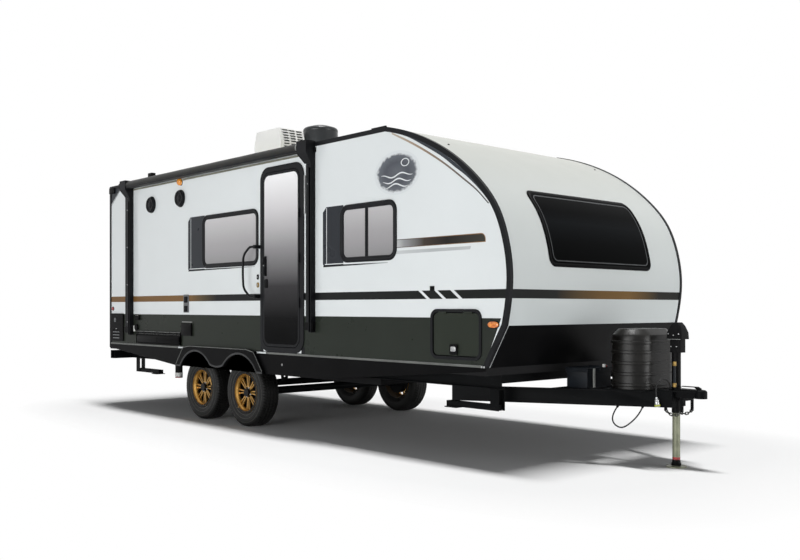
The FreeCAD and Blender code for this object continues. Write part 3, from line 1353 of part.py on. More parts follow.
def make_fittings():
    """Speakers, lamps, the vent panel, the folding shelf rail, inlets, tanks and the waste pipe."""
    face = beyond(-1, 0)
    speakers = [rod((x, face, z), (x, beyond(-1, speaker_proud), z), speaker_radius) for x, z in speaker_places]
    add("speakers", *speakers)

    markers = []
    places = (upper_marker, (rear_x + rear_marker_inset, rear_marker_z))
    for side in (-1, 1):
        for x, z in places:
            markers.append(block(x - marker_length / 2, x + marker_length / 2, beyond(side, 0),
                                 beyond(side, marker_proud), z - marker_height / 2, z + marker_height / 2))
        x, z = nose_tip_x - nose_marker_setback, nose_marker_z
        rect = (x - nose_marker_length / 2, x + nose_marker_length / 2, z - nose_marker_height / 2,
                z + nose_marker_height / 2)
        markers.append(rounded_plate(rect, 0, nose_marker_height * marker_corner_share, beyond(side, 0),
                                     beyond(side, marker_proud)))
    add("lamps", *markers)
    lamps = []
    for side in (-1, 1):
        y = side * (inner_half_width - tail_light_width)
        lamps.append(block(rear_x - tail_light_proud, rear_x,
                           y - tail_light_width / 2, y + tail_light_width / 2,
                           wall_bottom_z + tail_light_height, wall_bottom_z + 2 * tail_light_height))
    add("lamps", *lamps)

    x0, x1 = rear_x + edge_trim_width, vent_panel_front_x
    z0, z1 = vent_panel_bottom_z, vent_panel_top_z
    panel = block(x0, x1, face, beyond(-1, vent_panel_proud), z0, z1)
    slot_side = (x1 - x0) * vent_slot_side_share
    for number in range(vent_slot_count):
        z = z0 + (z1 - z0) * vent_slot_pitch_share * (number + 1)
        panel = panel.cut(block(x0 + slot_side, x1 - slot_side, beyond(-1, vent_panel_proud - panel_slot_depth),
                                beyond(-1, vent_panel_proud + cut_overrun), z, z + vent_slot_height))
    add("vent_panel", panel)

    x0, z0 = rear_x + shelf_rail_inset, shelf_rail_bottom_z
    x1, z1 = x0 + shelf_rail_length, z0 + shelf_rail_height
    tray = block(x0, x1, face, beyond(-1, shelf_rail_wall), z0, z1)
    lips = [block(x0, x1, face, beyond(-1, shelf_rail_proud), z, z + shelf_lip) for z in (z0, z1 - shelf_lip)]
    add("shelf_rail", join([tray] + lips))

    inlet_x = rear_x + inlet_inset
    inlet = rod((inlet_x, face, inlet_z), (inlet_x, beyond(-1, inlet_proud), inlet_z), inlet_radius)
    boxes = [block(x, x + length, face, beyond(-1, inlet_proud), z, z + height)
             for x, z, (length, height) in ((inlet_x - inlet_proud, socket_box_z, socket_box),
                                            (rear_x + hatch_box_inset, hatch_box_z, hatch_box))]
    add("shower_inlet", inlet, *boxes)

    tank = block(tank_rear_x, tank_rear_x + tank_length, -tank_width / 2, tank_width / 2,
                 floor_bottom_z - cross_member_height - tank_depth, floor_bottom_z - cross_member_height)
    add("waste_tank", tank)
    elbow = rod((waste_pipe_x, waste_pipe_y, waste_pipe_bottom_z), (waste_pipe_x, waste_pipe_y, floor_bottom_z),
                waste_pipe_radius)
    add("waste_tank", elbow)


def make_cords():
    """The cable that hangs in a loop under the tongue between two clips, and the cable to the car's plug."""
    add("loop_cable", tube_along(loop_cable_route, loop_cable_diameter, "loop cable"))
    clips = []
    for end, inner in (loop_cable_route[:2], loop_cable_route[:-3:-1]):
        along = (vec(*end) - vec(*inner)).normalize()
        clips.append(Part.makeCylinder(loop_clip_radius, loop_clip_length, vec(*end), along))
    nodes["tongue_frame"] = [join(nodes["tongue_frame"] + clips)]

    add("plug_cable", tube_along(plug_cable_route, plug_cable_diameter, "plug cable"))
    inner, end = [vec(*spot) for spot in plug_cable_route[-2:]]
    along = (end - inner).normalize()
    body = Part.makeCylinder(plug_radius, plug_length, end, along)
    nut_start = end + along * (plug_length - plug_nut_length)
    nut = Part.makeCylinder(plug_nut_radius, plug_nut_length, nut_start, along)
    face_hole = Part.makeCylinder(plug_radius - plug_wall, plug_hole_depth, end + along * plug_length, -along)
    add("plug", join([body, nut]).cut(face_hole))


def chain_link(middle, along, normal):
    """One link: two straight sides and two half rings of round wire, lying square to its normal."""
    across = normal.cross(along)
    half = (link_inner_length - link_inner_width) / 2
    radius = (link_inner_width + link_wire) / 2
    pieces = []
    for s in (-1, 1):
        start = middle + across * (s * radius) - along * half
        pieces.append(Part.makeCylinder(link_wire / 2, 2 * half, start, along))
        centre = middle + along * (s * half)
        ring = Part.Face(Part.Wire([Part.makeCircle(link_wire / 2, centre + across * radius, along)]))
        pieces.append(ring.revolve(centre, normal, -180 * s))
    return join(pieces)


def make_chains():
    """Two safety chains that hang in an arc beside the jack, from a lug on the tongue to one on the coupler."""
    turn = link_pitch / chain_bend_radius
    centre_z = chain_low_z + chain_bend_radius
    neck_bottom_z = coupler_top_z - coupler_height
    lug_in = link_wire / 2 + chain_lug_gap
    lug_out = lug_in + chain_lug_plate
    half = chain_lug_width / 2
    rear_lugs, front_lugs = [], []
    for side in (-1, 1):
        y = side * chain_y
        for number in range(link_count):
            angle = (number - (link_count - 1) / 2) * turn
            middle = vec(chain_x + chain_bend_radius * math.sin(angle), y,
                         centre_z - chain_bend_radius * math.cos(angle))
            along = vec(math.cos(angle), 0, math.sin(angle))
            upright, level = vec(0, 1, 0), vec(-math.sin(angle), 0, math.cos(angle))
            add("safety_chains", chain_link(middle, along, level if number % 2 else upright))
            if number in (0, link_count - 1):
                outwards = math.copysign(link_inner_length / 2 - chain_pin_radius - seat_gap, angle)
                pin = middle + along * outwards
                lugs, top_z = (front_lugs, neck_bottom_z) if number else (rear_lugs, tongue_bottom_z)
                lugs.append(rod((pin.x, y - lug_out, pin.z), (pin.x, y + lug_out, pin.z), chain_pin_radius))
                for s in (-1, 1):
                    lugs.append(block(pin.x - half, pin.x + half, y + s * lug_in, y + s * lug_out,
                                      pin.z - half, top_z))
                front_x = pin.x
    front_lugs.append(block(front_x - half, front_x + half, -chain_y - lug_out, chain_y + lug_out,
                            neck_bottom_z - chain_bar, neck_bottom_z))
    nodes["tongue_frame"] = [join(nodes["tongue_frame"] + rear_lugs)]
    nodes["coupler"] = [join(nodes["coupler"] + front_lugs)]


def main():
    make_wheels(-1, "right")
    make_wheels(1, "left")
    make_axle(axle_spacing / 2)
    make_axle(-axle_spacing / 2)
    make_suspension()
    make_chassis()
    make_tongue()
    make_coupler()
    make_jack()
    make_shell()
    make_side_walls()
    make_grab_handle()
    make_trim()
    make_skirts()
    make_awning()
    make_roof_kit()
    make_tongue_load()
    make_stabilisers()
    make_fittings()
    make_cords()
    make_chains()
    os.makedirs("parts", exist_ok=True)
    for name, solids in nodes.items():
        shape = solids[0] if len(solids) == 1 else Part.makeCompound(solids)
        shape = shape.copy()
        shape.translate(vec(-origin_x, 0, 0))
        shape.exportStep("parts/" + name + ".step")
        box = shape.BoundBox
        print(name, len(solids), "solids", shape.isValid(), round(box.XMin), round(box.XMax), round(box.YMin),
              round(box.YMax), round(box.ZMin), round(box.ZMax))


main()
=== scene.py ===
# %% [markdown]
# # A travel trailer with a rounded nose
# The real object is a towed camping trailer. It has flat white side walls, a curved front cap,
# two axles, a steel tongue with a jack, an awning rolled up along one side and a dark lower band.
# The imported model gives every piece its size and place, so this lesson is about looks: finishes,
# thin graphics, tyres, small fittings, light and camera.

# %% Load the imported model
import json
import math
import bmesh
import bpy
import numpy as np
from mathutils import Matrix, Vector
from mathutils.bvhtree import BVHTree


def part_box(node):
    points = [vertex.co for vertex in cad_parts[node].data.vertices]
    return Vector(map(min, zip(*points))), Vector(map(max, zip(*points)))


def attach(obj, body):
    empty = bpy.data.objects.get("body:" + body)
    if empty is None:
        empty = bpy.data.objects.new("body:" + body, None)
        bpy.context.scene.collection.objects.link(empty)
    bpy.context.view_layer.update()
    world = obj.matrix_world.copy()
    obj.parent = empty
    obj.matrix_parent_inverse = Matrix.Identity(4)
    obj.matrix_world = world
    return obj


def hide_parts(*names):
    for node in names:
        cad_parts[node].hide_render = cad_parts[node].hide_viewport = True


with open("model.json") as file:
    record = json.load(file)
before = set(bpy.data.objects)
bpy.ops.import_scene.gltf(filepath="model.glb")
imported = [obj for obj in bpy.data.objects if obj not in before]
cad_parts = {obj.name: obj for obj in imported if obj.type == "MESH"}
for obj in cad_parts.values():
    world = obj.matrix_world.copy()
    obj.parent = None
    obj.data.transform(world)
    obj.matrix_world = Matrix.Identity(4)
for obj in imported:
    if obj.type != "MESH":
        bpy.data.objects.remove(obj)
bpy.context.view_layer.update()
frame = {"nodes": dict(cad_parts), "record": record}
nodes = frame["nodes"]

# %% [markdown]
# ## Places read from the frame
# The frame's origin lies under the middle of the trailer. On the real vehicle the middle between
# the two axles is the natural place to measure from, so `along` turns a distance from there into
# the frame's x. The outer faces of the side walls give the planes that all graphics lie on.

# %% Measure the main planes
def middle_of(node):
    low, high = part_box(node)
    return (low + high) / 2


axle_middle_x = (middle_of("front_right_tyre").x + middle_of("rear_right_tyre").x) / 2
wall_face_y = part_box("left_side_wall")[1].y
rear_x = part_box("rear_wall")[0].x
wall_bottom_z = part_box("right_side_wall")[0].z


def along(distance):
    """The frame's x of a point that lies some metres ahead of the middle between the axles."""
    return axle_middle_x + distance


print("axle middle", round(axle_middle_x, 4), "wall face", round(wall_face_y, 4), "rear", round(rear_x, 3))

# %% [markdown]
# ## The camera
# The photograph was taken at chest height from the front right corner. A long straight edge, the
# ground line and the wheels fix its place, its level view and its focal length. The horizon lies a
# little under the middle of the picture, so the lens is shifted up and the camera itself stays level.

# %% Set up the camera
picture_width, picture_height = 800, 560
focal_pixels = 913.2
horizon_row = 307.54
camera_heading = math.radians(137.457)
camera_data = bpy.data.cameras.new("front_corner_camera")
camera_data.sensor_width = 36.0
camera_data.lens = focal_pixels * camera_data.sensor_width / picture_width
camera_data.shift_y = (horizon_row - picture_height / 2) / picture_width
camera_data.clip_end = 400.0
camera = bpy.data.objects.new("front_corner_camera", camera_data)
camera.location = (along(8.231), -6.171, 1.197)
camera.rotation_euler = (math.pi / 2, 0.0, camera_heading - math.pi / 2)
bpy.context.scene.collection.objects.link(camera)
bpy.context.scene.camera = camera
print("lens", round(camera_data.lens, 2), "shift", round(camera_data.shift_y, 4))

# %% [markdown]
# ## Helpers for finishes
# Colours are written as they look on a screen, from 0 to 255, and turned into the linear values
# that a shader wants. Every finish starts from one shader with three slow changes: the colour
# wanders between two near tones, the roughness wanders too, and a fine grain lifts the surface.
# A photograph on the surface would be another way, but noise needs no picture and no unwrapping.

# %% Define the finish helpers
def screen(red, green, blue):
    """Screen colour to linear: a power curve above a short straight piece near black."""
    shares = np.array((red, green, blue)) / 255
    linear = np.where(shares <= 0.04045, shares / 12.92, ((shares + 0.055) / 1.055) ** 2.4)
    return (*[float(v) for v in linear], 1.0)


def start_finish(name):
    """A new material with nodes: the material, its node tree and the shader in it."""
    material = bpy.data.materials.new(name)
    material.use_nodes = True
    return material, material.node_tree, material.node_tree.nodes["Principled BSDF"]


def fill(tree, node, values):
    """Fills a node's inputs: a socket is linked, and a number or a colour is set."""
    for place, value in values.items():
        if isinstance(value, bpy.types.NodeSocket):
            tree.links.new(value, node.inputs[place])
        else:
            node.inputs[place].default_value = value


def place_on(tree, stretch=(1.0, 1.0, 1.0)):
    """Object coordinates, stretched along the axes."""
    coordinates = tree.nodes.new("ShaderNodeTexCoord")
    mapping = tree.nodes.new("ShaderNodeMapping")
    fill(tree, mapping, {"Scale": stretch, "Vector": coordinates.outputs["Object"]})
    return mapping.outputs["Vector"]


def noise_on(tree, scale, detail=4.0, stretch=(1.0, 1.0, 1.0)):
    """Noise from 0 to 1 whose largest patches are about one over the scale wide, in metres."""
    noise = tree.nodes.new("ShaderNodeTexNoise")
    fill(tree, noise, {"Scale": scale, "Detail": detail, "Vector": place_on(tree, stretch)})
    return noise.outputs["Fac"]


def ramp_between(tree, factor, stops):
    """A colour ramp with (position, colour) stops; a colour of three numbers is a screen colour."""
    ramp = tree.nodes.new("ShaderNodeValToRGB")
    elements = ramp.color_ramp.elements
    while len(elements) < len(stops):
        elements.new(0.5)
    for element, (position, colour) in zip(elements, stops):
        element.position = position
        element.color = screen(*colour) if len(colour) == 3 else colour
    tree.links.new(factor, ramp.inputs["Fac"])
    return ramp.outputs["Color"]


def range_between(tree, value, start, end, low=0.0, high=1.0):
    """A straight map from one span of values to another."""
    node = tree.nodes.new("ShaderNodeMapRange")
    fill(tree, node, {"Value": value, "From Min": start, "From Max": end, "To Min": low, "To Max": high})
    return node.outputs["Result"]


def ramp_along(tree, axis, stops, shift=0.0):
    """A colour ramp over an axis: each (place, colour) stop lies at its share of the whole span."""
    separate = tree.nodes.new("ShaderNodeSeparateXYZ")
    tree.links.new(place_on(tree), separate.inputs["Vector"])
    lowest, highest = stops[0][0] + shift, stops[-1][0] + shift
    share = range_between(tree, separate.outputs[axis], lowest, highest)
    return ramp_between(tree, share, [((place + shift - lowest) / (highest - lowest), colour)
                                      for place, colour in stops])


def grain_normal(tree, height, depth):
    """The normal of a surface that rises by height times depth, in metres."""
    bump = tree.nodes.new("ShaderNodeBump")
    fill(tree, bump, {"Distance": depth, "Strength": 1.0, "Height": height})
    return bump.outputs["Normal"]


def make_finish(name, dark, light, roughness, patch, grain, depth, shine=0.5, metallic=0.0, coat=0.0,
                stretch=(1.0, 1.0, 1.0)):
    """Colour between two near tones, roughness between two values, and a fine raised grain."""
    material, tree, shader = start_finish(name)
    patches = noise_on(tree, patch, 5.0, stretch)
    fill(tree, shader, {
        "Base Color": ramp_between(tree, patches, [(0.3, dark), (0.7, light)]),
        "Roughness": range_between(tree, patches, 0.3, 0.7, *roughness),
        "Metallic": metallic, "Specular IOR Level": shine, "Coat Weight": coat, "Coat Roughness": 0.08,
        "Normal": grain_normal(tree, noise_on(tree, grain, 3.0, stretch), depth)})
    return material


print("white on a screen is", screen(255, 255, 255))

# %% [markdown]
# ## Painted and moulded finishes
# The side walls are smooth glass-fibre skins with a gloss coat, so they get a very low grain and a
# clear coat. The front cap is a moulded skin, a little duller; its tone, darker than the walls and
# darker and greener towards the top, is painted shade, made with the glass below. Frame steel is
# black paint with a light orange-peel, trim is satin black, and the roof is a matt membrane.

# %% Make the body finishes
# Each row: slot, material, dark and light tone, roughness, patches and grains per metre, depth of
# the grain, and where they are not the usual ones, shine, metal and coat.
finishes = {}
for slot_name, name, *values in (
        ("white_side_skin", "side_wall_gel_coat", (221, 226, 227), (226, 231, 232), (0.28, 0.34), 0.8, 90.0,
         0.00015, 0.5, 0.0, 0.3),
        ("roof_membrane", "roof_membrane", (206, 205, 190), (216, 215, 201), (0.65, 0.8), 2.0, 300.0, 0.0003),
        ("black_frame_paint", "black_frame_paint", (10, 11, 12), (17, 18, 19), (0.4, 0.55), 5.0, 250.0, 0.0002, 0.04),
        ("dark_underbelly", "dark_underbelly", (16, 16, 17), (24, 24, 25), (0.7, 0.85), 2.5, 150.0, 0.0004, 0.15),
        ("dark_panel", "black_skirt_metal", (7, 7, 8), (13, 13, 14), (0.32, 0.42), 1.5, 200.0, 0.0001, 0.04),
        ("black_trim", "satin_black_trim", (16, 17, 19), (24, 25, 28), (0.38, 0.5), 6.0, 350.0, 0.0001, 0.12),
        ("olive_panel", "olive_charcoal_paint", (39, 44, 37), (44, 49, 42), (0.3, 0.36), 0.9, 160.0, 0.0001, 0.12),
        ("black_plastic", "moulded_black_plastic", (9, 9, 10), (18, 18, 19), (0.42, 0.55), 8.0, 700.0, 0.0003, 0.06),
        ("bronze_rim", "bronze_rim_paint", (150, 112, 48), (196, 150, 74), (0.26, 0.36), 14.0, 500.0, 0.0001, 0.5,
         0.7, 0.2),
        ("bright_trim", "bright_strip", (122, 124, 123), (150, 152, 150), (0.22, 0.34), 9.0, 600.0, 0.00005, 0.5, 0.85),
        ("zinc_plate", "zinc_plated_steel", (150, 152, 154), (190, 191, 190), (0.3, 0.45), 45.0, 900.0, 0.0001, 0.5,
         0.9),
        ("tyre_rubber", "tyre_rubber", (11, 11, 11), (18, 18, 17), (0.45, 0.58), 12.0, 900.0, 0.0003, 0.2),
        ("awning_vinyl", "awning_vinyl", (20, 20, 18), (29, 29, 26), (0.4, 0.52), 6.0, 800.0, 0.0002, 0.3),
        ("cable_jacket", "black_cable_jacket", (14, 14, 15), (22, 22, 23), (0.45, 0.6), 30.0, 900.0, 0.0002, 0.3)):
    finishes[slot_name] = make_finish(name, *values)
print("finishes", len(finishes))

# %% [markdown]
# ## Lamp lenses and glass
# Lamp lenses are clear coloured plastic; here their shader is an opaque coated gloss in deep amber
# or red. Side panes, the front window and the door panel are dark glass. The pale sky above and the
# dark ground below that such glass reflects are painted into its colour by height on the trailer, a
# painted reflection that stays put from every side; the front cap's tone by height is painted shade.

# %% Make the lens, glass and panel finishes
def make_lens(name, deep, bright):
    """A coated gloss whose colour and height follow the same slow noise."""
    material, tree, shader = start_finish(name)
    ripples = noise_on(tree, 60.0)
    fill(tree, shader, {
        "Base Color": ramp_between(tree, ripples, [(0.35, deep), (0.65, bright)]),
        "Roughness": 0.12, "Coat Weight": 0.6, "Normal": grain_normal(tree, ripples, 0.0006)})
    return material


def make_gloss_painted_by_height(name, stops, roughness, coat=0.5, shine=0.5):
    """A gloss whose colour follows height, for painted reflection and painted shade: stops are (height in metres,
    colour).
    """
    material, tree, shader = start_finish(name)
    fill(tree, shader, {
        "Base Color": ramp_along(tree, "Z", stops),
        "Roughness": range_between(tree, noise_on(tree, 4.0), 0.3, 0.7, *roughness),
        "Specular IOR Level": shine, "Coat Weight": coat, "Coat Roughness": 0.03,
        "Normal": grain_normal(tree, noise_on(tree, 3.0, 2.0), 0.0004)})
    return material


# Front cap: darker than the walls and darker and greener at the top, painted shade where less light falls.
finishes["nose_cap_skin"] = make_gloss_painted_by_height(
    "front_cap_painted_shade", [(1.06, (200, 206, 206)), (1.6, (209, 214, 213)), (2.1, (203, 207, 204)),
                           (2.69, (182, 184, 174))], (0.32, 0.4), 0.2, 0.3)
finishes["lamp_lens"] = make_lens("amber_lens", (196, 92, 16), (244, 150, 52))
# Side panes: grey rising to pale towards the top, a painted reflection of ground below and sky above.
finishes["tinted_glass"] = make_gloss_painted_by_height(
    "side_window_painted_reflection", [(1.60, (126, 125, 127)), (1.85, (158, 156, 158)), (2.13, (197, 195, 197))], (0.08, 0.14))
# Front window: near black with a lighter band in its upper half, a painted reflection.
nose_glass_painted_reflection = make_gloss_painted_by_height(
    "front_window_painted_reflection", [(1.55, (4, 5, 5)), (1.70, (9, 10, 11)), (1.86, (20, 22, 24)), (1.95, (6, 7, 8)),
                           (2.08, (5, 6, 7))], (0.05, 0.1), 0.0, 0.012)
# Door panel: black at the bottom rising to white at the top, a painted reflection of ground and sky.
door_glass_painted_reflection = make_gloss_painted_by_height(
    "door_panel_painted_reflection", [(0.85, (6, 6, 7)), (1.10, (14, 14, 15)), (1.40, (58, 57, 59)), (1.75, (146, 145, 147)),
                         (2.15, (218, 216, 218)), (2.46, (252, 252, 253))], (0.12, 0.18), 0.0, 0.06)
print("glass finishes", nose_glass_painted_reflection.name, door_glass_painted_reflection.name)

# %% [markdown]
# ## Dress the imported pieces
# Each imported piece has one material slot, named in the record for what the piece is made of. The
# loop below swaps the plain slot for the finish of that name. Pieces that need their own finish,
# such as the door panel, are set afterwards.

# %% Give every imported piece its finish
slot_of = {entry["node"]: entry["material_slot"] for entry in frame["record"]["subparts"]}


def dress(node, material):
    """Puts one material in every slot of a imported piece."""
    for place in nodes[node].material_slots:
        place.material = material


for node in nodes:
    dress(node, finishes[slot_of[node]])
# A flat grey for thin lines: on the bright lower trim it is a painted reflection, on the fenders' top lips a painted
# highlight.
grey_line_painted_highlight = make_finish("grey_painted_highlight_line", (92, 94, 92), (112, 114, 111), (0.4, 0.5), 6.0, 300.0, 0.0001, 0.2)
dress("entry_door_panel", door_glass_painted_reflection)
dress("lower_trim", grey_line_painted_highlight)
print("dressed", len(slot_of))

# %% [markdown]
# ## Helpers for shapes
# A few helpers cover most new pieces. A plate is a flat outline with a small thickness. A grid is a
# surface whose points come from two parameters, computed for all points at once, and a turned piece
# is a grid of angle by profile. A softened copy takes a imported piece, merges its loose triangles and
# rounds its edges with a bevel, because a rounded edge catches a thin line of light and a perfectly
# sharp one never does.

# %% Define the helpers for pieces and meshes
body_of_node = {node: body for body, members in frame["record"]["behaviour"]["bodies"].items() for node in members}


def place_piece(name, mesh, slot_name, material=None, body="trailer", replaced=None, smooth_angle=35.0):
    """An object riding a body; edges between faces that turn by more than the angle stay sharp."""
    mesh.materials.clear()
    mesh.materials.append(material or finishes[slot_name])
    mesh.shade_smooth()
    mesh.set_sharp_from_angle(angle=math.radians(smooth_angle))
    piece = bpy.data.objects.new(name, mesh)
    bpy.context.scene.collection.objects.link(piece)
    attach(piece, body)
    if replaced:
        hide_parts(replaced)
    return piece


def tidy_mesh(mesh, merge, flat_angle=0.0):
    """Merges doubles, melts flat neighbours together if asked, and turns the faces outwards."""
    work = bmesh.new()
    work.from_mesh(mesh)
    bmesh.ops.remove_doubles(work, verts=work.verts, dist=merge)
    if flat_angle:
        bmesh.ops.dissolve_limit(work, angle_limit=math.radians(flat_angle), verts=work.verts, edges=work.edges)
    bmesh.ops.recalc_face_normals(work, faces=work.faces)
    work.to_mesh(mesh)
    work.free()


def make_mesh(name, points, faces, merge=1e-6):
    """A mesh of points and faces, where points closer than the merge distance become one."""
    mesh = bpy.data.meshes.new(name)
    mesh.from_pydata(np.asarray(points, dtype=float).reshape(-1, 3).tolist(), [], [list(face) for face in faces])
    mesh.update()
    tidy_mesh(mesh, merge)
    return mesh


def grid_faces(rows, columns, close_rows=False, close_columns=False, capped=False):
    """Index quads of a grid stored row by row, with the first and last row as end faces if capped."""
    row = np.arange(rows if close_rows else rows - 1)[:, None]
    column = np.arange(columns if close_columns else columns - 1)[None, :]
    next_row, next_column = (row + 1) % rows, (column + 1) % columns
    quads = np.stack(np.broadcast_arrays(
        row * columns + column, row * columns + next_column,
        next_row * columns + next_column, next_row * columns + column), axis=-1).reshape(-1, 4).tolist()
    ends = [range(columns - 1, -1, -1), range((rows - 1) * columns, rows * columns)] if capped else []
    return quads + [list(end) for end in ends]


def plate_mesh(name, front, back):
    """A closed plate: front outline, back outline with as many points, and quads between them."""
    return make_mesh(name, np.concatenate([front, back]), grid_faces(2, len(front), False, True, True))


def corner_arc(centre_x, centre_z, radius, start, end, count=9):
    """Points on a circle from one angle to another, in degrees."""
    angles = np.radians(np.linspace(start, end, count))
    return np.stack([centre_x + radius * np.cos(angles), centre_z + radius * np.sin(angles)], axis=1)


def rounded_rectangle(low_a, high_a, low_b, high_b, radius, inset, corner_steps=8, edge_steps=12):
    """A closed loop of points round a rectangle with round corners, moved inwards by inset."""
    r = max(radius - inset, 0.002)
    shift = radius - inset - r
    arcs = [corner_arc(a + shift * turn_a, b + shift * turn_b, r, start, start + 90, corner_steps)
            for a, b, turn_a, turn_b, start in (
                (high_a - radius, high_b - radius, 1, 1, 0), (low_a + radius, high_b - radius, -1, 1, 90),
                (low_a + radius, low_b + radius, -1, -1, 180), (high_a - radius, low_b + radius, 1, -1, 270))]
    shares = np.linspace(0, 1, edge_steps + 2)[1:-1, None]
    return np.concatenate([part for arc, following in zip(arcs, arcs[1:] + arcs[:1])
                           for part in (arc, arc[-1] + (following[0] - arc[-1]) * shares)])


def curve_through(points, count=40):
    """A smooth line through points: each stretch is a cubic whose ends lean along their neighbours."""
    points = np.asarray(points, dtype=float)
    lean = np.gradient(points, axis=0)
    spot = np.linspace(0, len(points) - 1, count)
    index = np.minimum(spot.astype(int), len(points) - 2)
    t = (spot - index)[:, None]
    a, b, da, db = points[index], points[index + 1], lean[index], lean[index + 1]
    return ((2 * t**3 - 3 * t**2 + 1) * a + (t**3 - 2 * t**2 + t) * da + (3 * t**2 - 2 * t**3) * b
            + (t**3 - t**2) * db)


def surface_tree(node):
    """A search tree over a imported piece's faces, for rays and for nearest points."""
    mesh = nodes[node].data
    return BVHTree.FromPolygons([v.co for v in mesh.vertices], [p.vertices for p in mesh.polygons])


# %% Define plates on the side walls
sides = ((-1, "right"), (1, "left"))


def wall_layer(flat, side, height):
    """Points (ahead of the axle middle, up) put at a height over the outer face of a side wall."""
    flat = np.asarray(flat, dtype=float)
    return np.stack([along(0.0) + flat[:, 0], np.full(len(flat), side * (wall_face_y + height)), flat[:, 1]], axis=1)


def box_outline(rear, front, low, high):
    """The four corners of an upright rectangle."""
    return [(rear, low), (front, low), (front, high), (rear, high)]


def side_plate(name, outline, side, material=None, proud=0.0005, base=0.0, slot_name="black_trim"):
    """A thin plate on a side wall; the outline holds metres ahead of the axle middle and height."""
    layers = [wall_layer(outline, side, base + proud), wall_layer(outline, side, base)]
    return place_piece(name, plate_mesh(name, *layers), slot_name, material)


def side_strip(name, upper, lower, side, material=None, proud=0.0005, base=0.0):
    """A thin closed plate between two edges with as many points each, filled with quads across."""
    edge = np.concatenate([upper, lower[::-1]])
    count = len(edge)
    across = [(i, i + 1, count - 2 - i, count - 1 - i) for i in range(len(upper) - 1)]
    faces = across + [tuple(count + i for i in quad[::-1]) for quad in across]
    faces += [(i, (i + 1) % count, count + (i + 1) % count, count + i) for i in range(count)]
    points = np.concatenate([wall_layer(edge, side, base + proud), wall_layer(edge, side, base)])
    return place_piece(name, make_mesh(name, points, faces), "black_trim", material)


def wall_plate(name, rect, radius, proud, base, slot_name, material=None, side=-1, body="trailer"):
    """A rounded rectangle on the wall with a softened front edge, from base to proud."""
    loops = [wall_layer(rounded_rectangle(*rect, radius, inset, 6, 1), side, height) for inset, height in (
        (0.0, base), (0.0, proud - 0.002), (0.0008, proud - 0.0006), (0.0025, proud))]
    faces = grid_faces(len(loops), len(loops[0]), False, True, True)
    return place_piece(name, make_mesh(name, np.concatenate(loops), faces), slot_name, material, body)


print("sides", sides)

# %% Define turned, boxed and softened pieces
def turned_piece(name, start, direction, profile, slot_name, material=None, body="trailer", steps=32,
                 smooth_angle=35.0):
    """Turns (distance, radius) points about a line: centre + radius * (u cos + v sin) per distance."""
    start, direction = np.array(start, float), np.array(direction, float)
    direction /= np.linalg.norm(direction)
    helper = np.array((0.0, 0.0, 1.0)) if abs(direction[2]) < 0.9 else np.array((1.0, 0.0, 0.0))
    u = np.cross(direction, helper)
    u /= np.linalg.norm(u)
    v = np.cross(direction, u)
    reach, radius = np.array(profile, dtype=float).T
    angle = np.linspace(0, 2 * np.pi, steps, endpoint=False)[:, None, None]
    points = (start + reach[None, :, None] * direction
              + radius[None, :, None] * (np.cos(angle) * u + np.sin(angle) * v))
    mesh = make_mesh(name, points, grid_faces(steps, len(reach), True, False))
    return place_piece(name, mesh, slot_name, material, body, None, smooth_angle)


def round_edges(piece, width):
    """Adds a bevel of two segments, as wide as asked, on the edges of a piece."""
    bevel = piece.modifiers.new("rounded_edges", "BEVEL")
    bevel.width = width
    bevel.segments = 2
    return bevel


def boxed_piece(name, low, high, slot_name, material=None, bevel=0.002):
    """A block between two corners with bevelled edges, given ahead of the axle middle."""
    corners = [(along(x), y, z) for x in (low[0], high[0]) for y in (low[1], high[1]) for z in (low[2], high[2])]
    faces = [(0, 1, 3, 2), (4, 6, 7, 5), (0, 4, 5, 1), (2, 3, 7, 6), (0, 2, 6, 4), (1, 5, 7, 3)]
    piece = place_piece(name, make_mesh(name, corners, faces), slot_name, material)
    round_edges(piece, bevel)
    return piece


def soften(node, width):
    """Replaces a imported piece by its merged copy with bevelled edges."""
    mesh = nodes[node].data.copy()
    mesh.name = node + "_rounded"
    tidy_mesh(mesh, 2e-5, 0.5)
    bevel = round_edges(place_piece(node + "_rounded", mesh, slot_of[node], None, body_of_node[node], node), width)
    bevel.limit_method = "ANGLE"
    bevel.angle_limit = math.radians(35.0)
    bevel.harden_normals = True


print("helpers for turned, boxed and softened pieces")

# %% [markdown]
# ## Graphics on the side walls
# The real graphics are printed films a fraction of a millimetre thick. Here each one is its own thin
# plate with its own finish, so it stays crisp close up. Colours that change along a film, such as the
# bronze belt that darkens towards the door, use one ramp over the distance along the trailer.

# %% Make the film finishes
def make_film(name, stops, axis="X", roughness=0.35):
    """A printed film: its colour changes along one axis through (place in metres, colour) stops."""
    material, tree, shader = start_finish(name)
    base = ramp_along(tree, axis, stops, along(0.0) if axis == "X" else 0.0)
    wander = ramp_between(tree, noise_on(tree, 2.0), [(0.35, (0.93, 0.93, 0.93, 1.0)), (0.65, (1.0, 1.0, 1.0, 1.0))])
    blend = tree.nodes.new("ShaderNodeMix")
    blend.data_type = "RGBA"
    blend.blend_type = "MULTIPLY"
    fill(tree, blend, {"Factor": 1.0, "A": base, "B": wander})
    fill(tree, shader, {
        "Base Color": blend.outputs["Result"],
        "Roughness": range_between(tree, noise_on(tree, 5.0), 0.3, 0.7, roughness - 0.04, roughness + 0.06),
        "Metallic": 0.0, "Specular IOR Level": 0.12,
        "Normal": grain_normal(tree, noise_on(tree, 500.0, 3.0), 0.00004)})
    return material


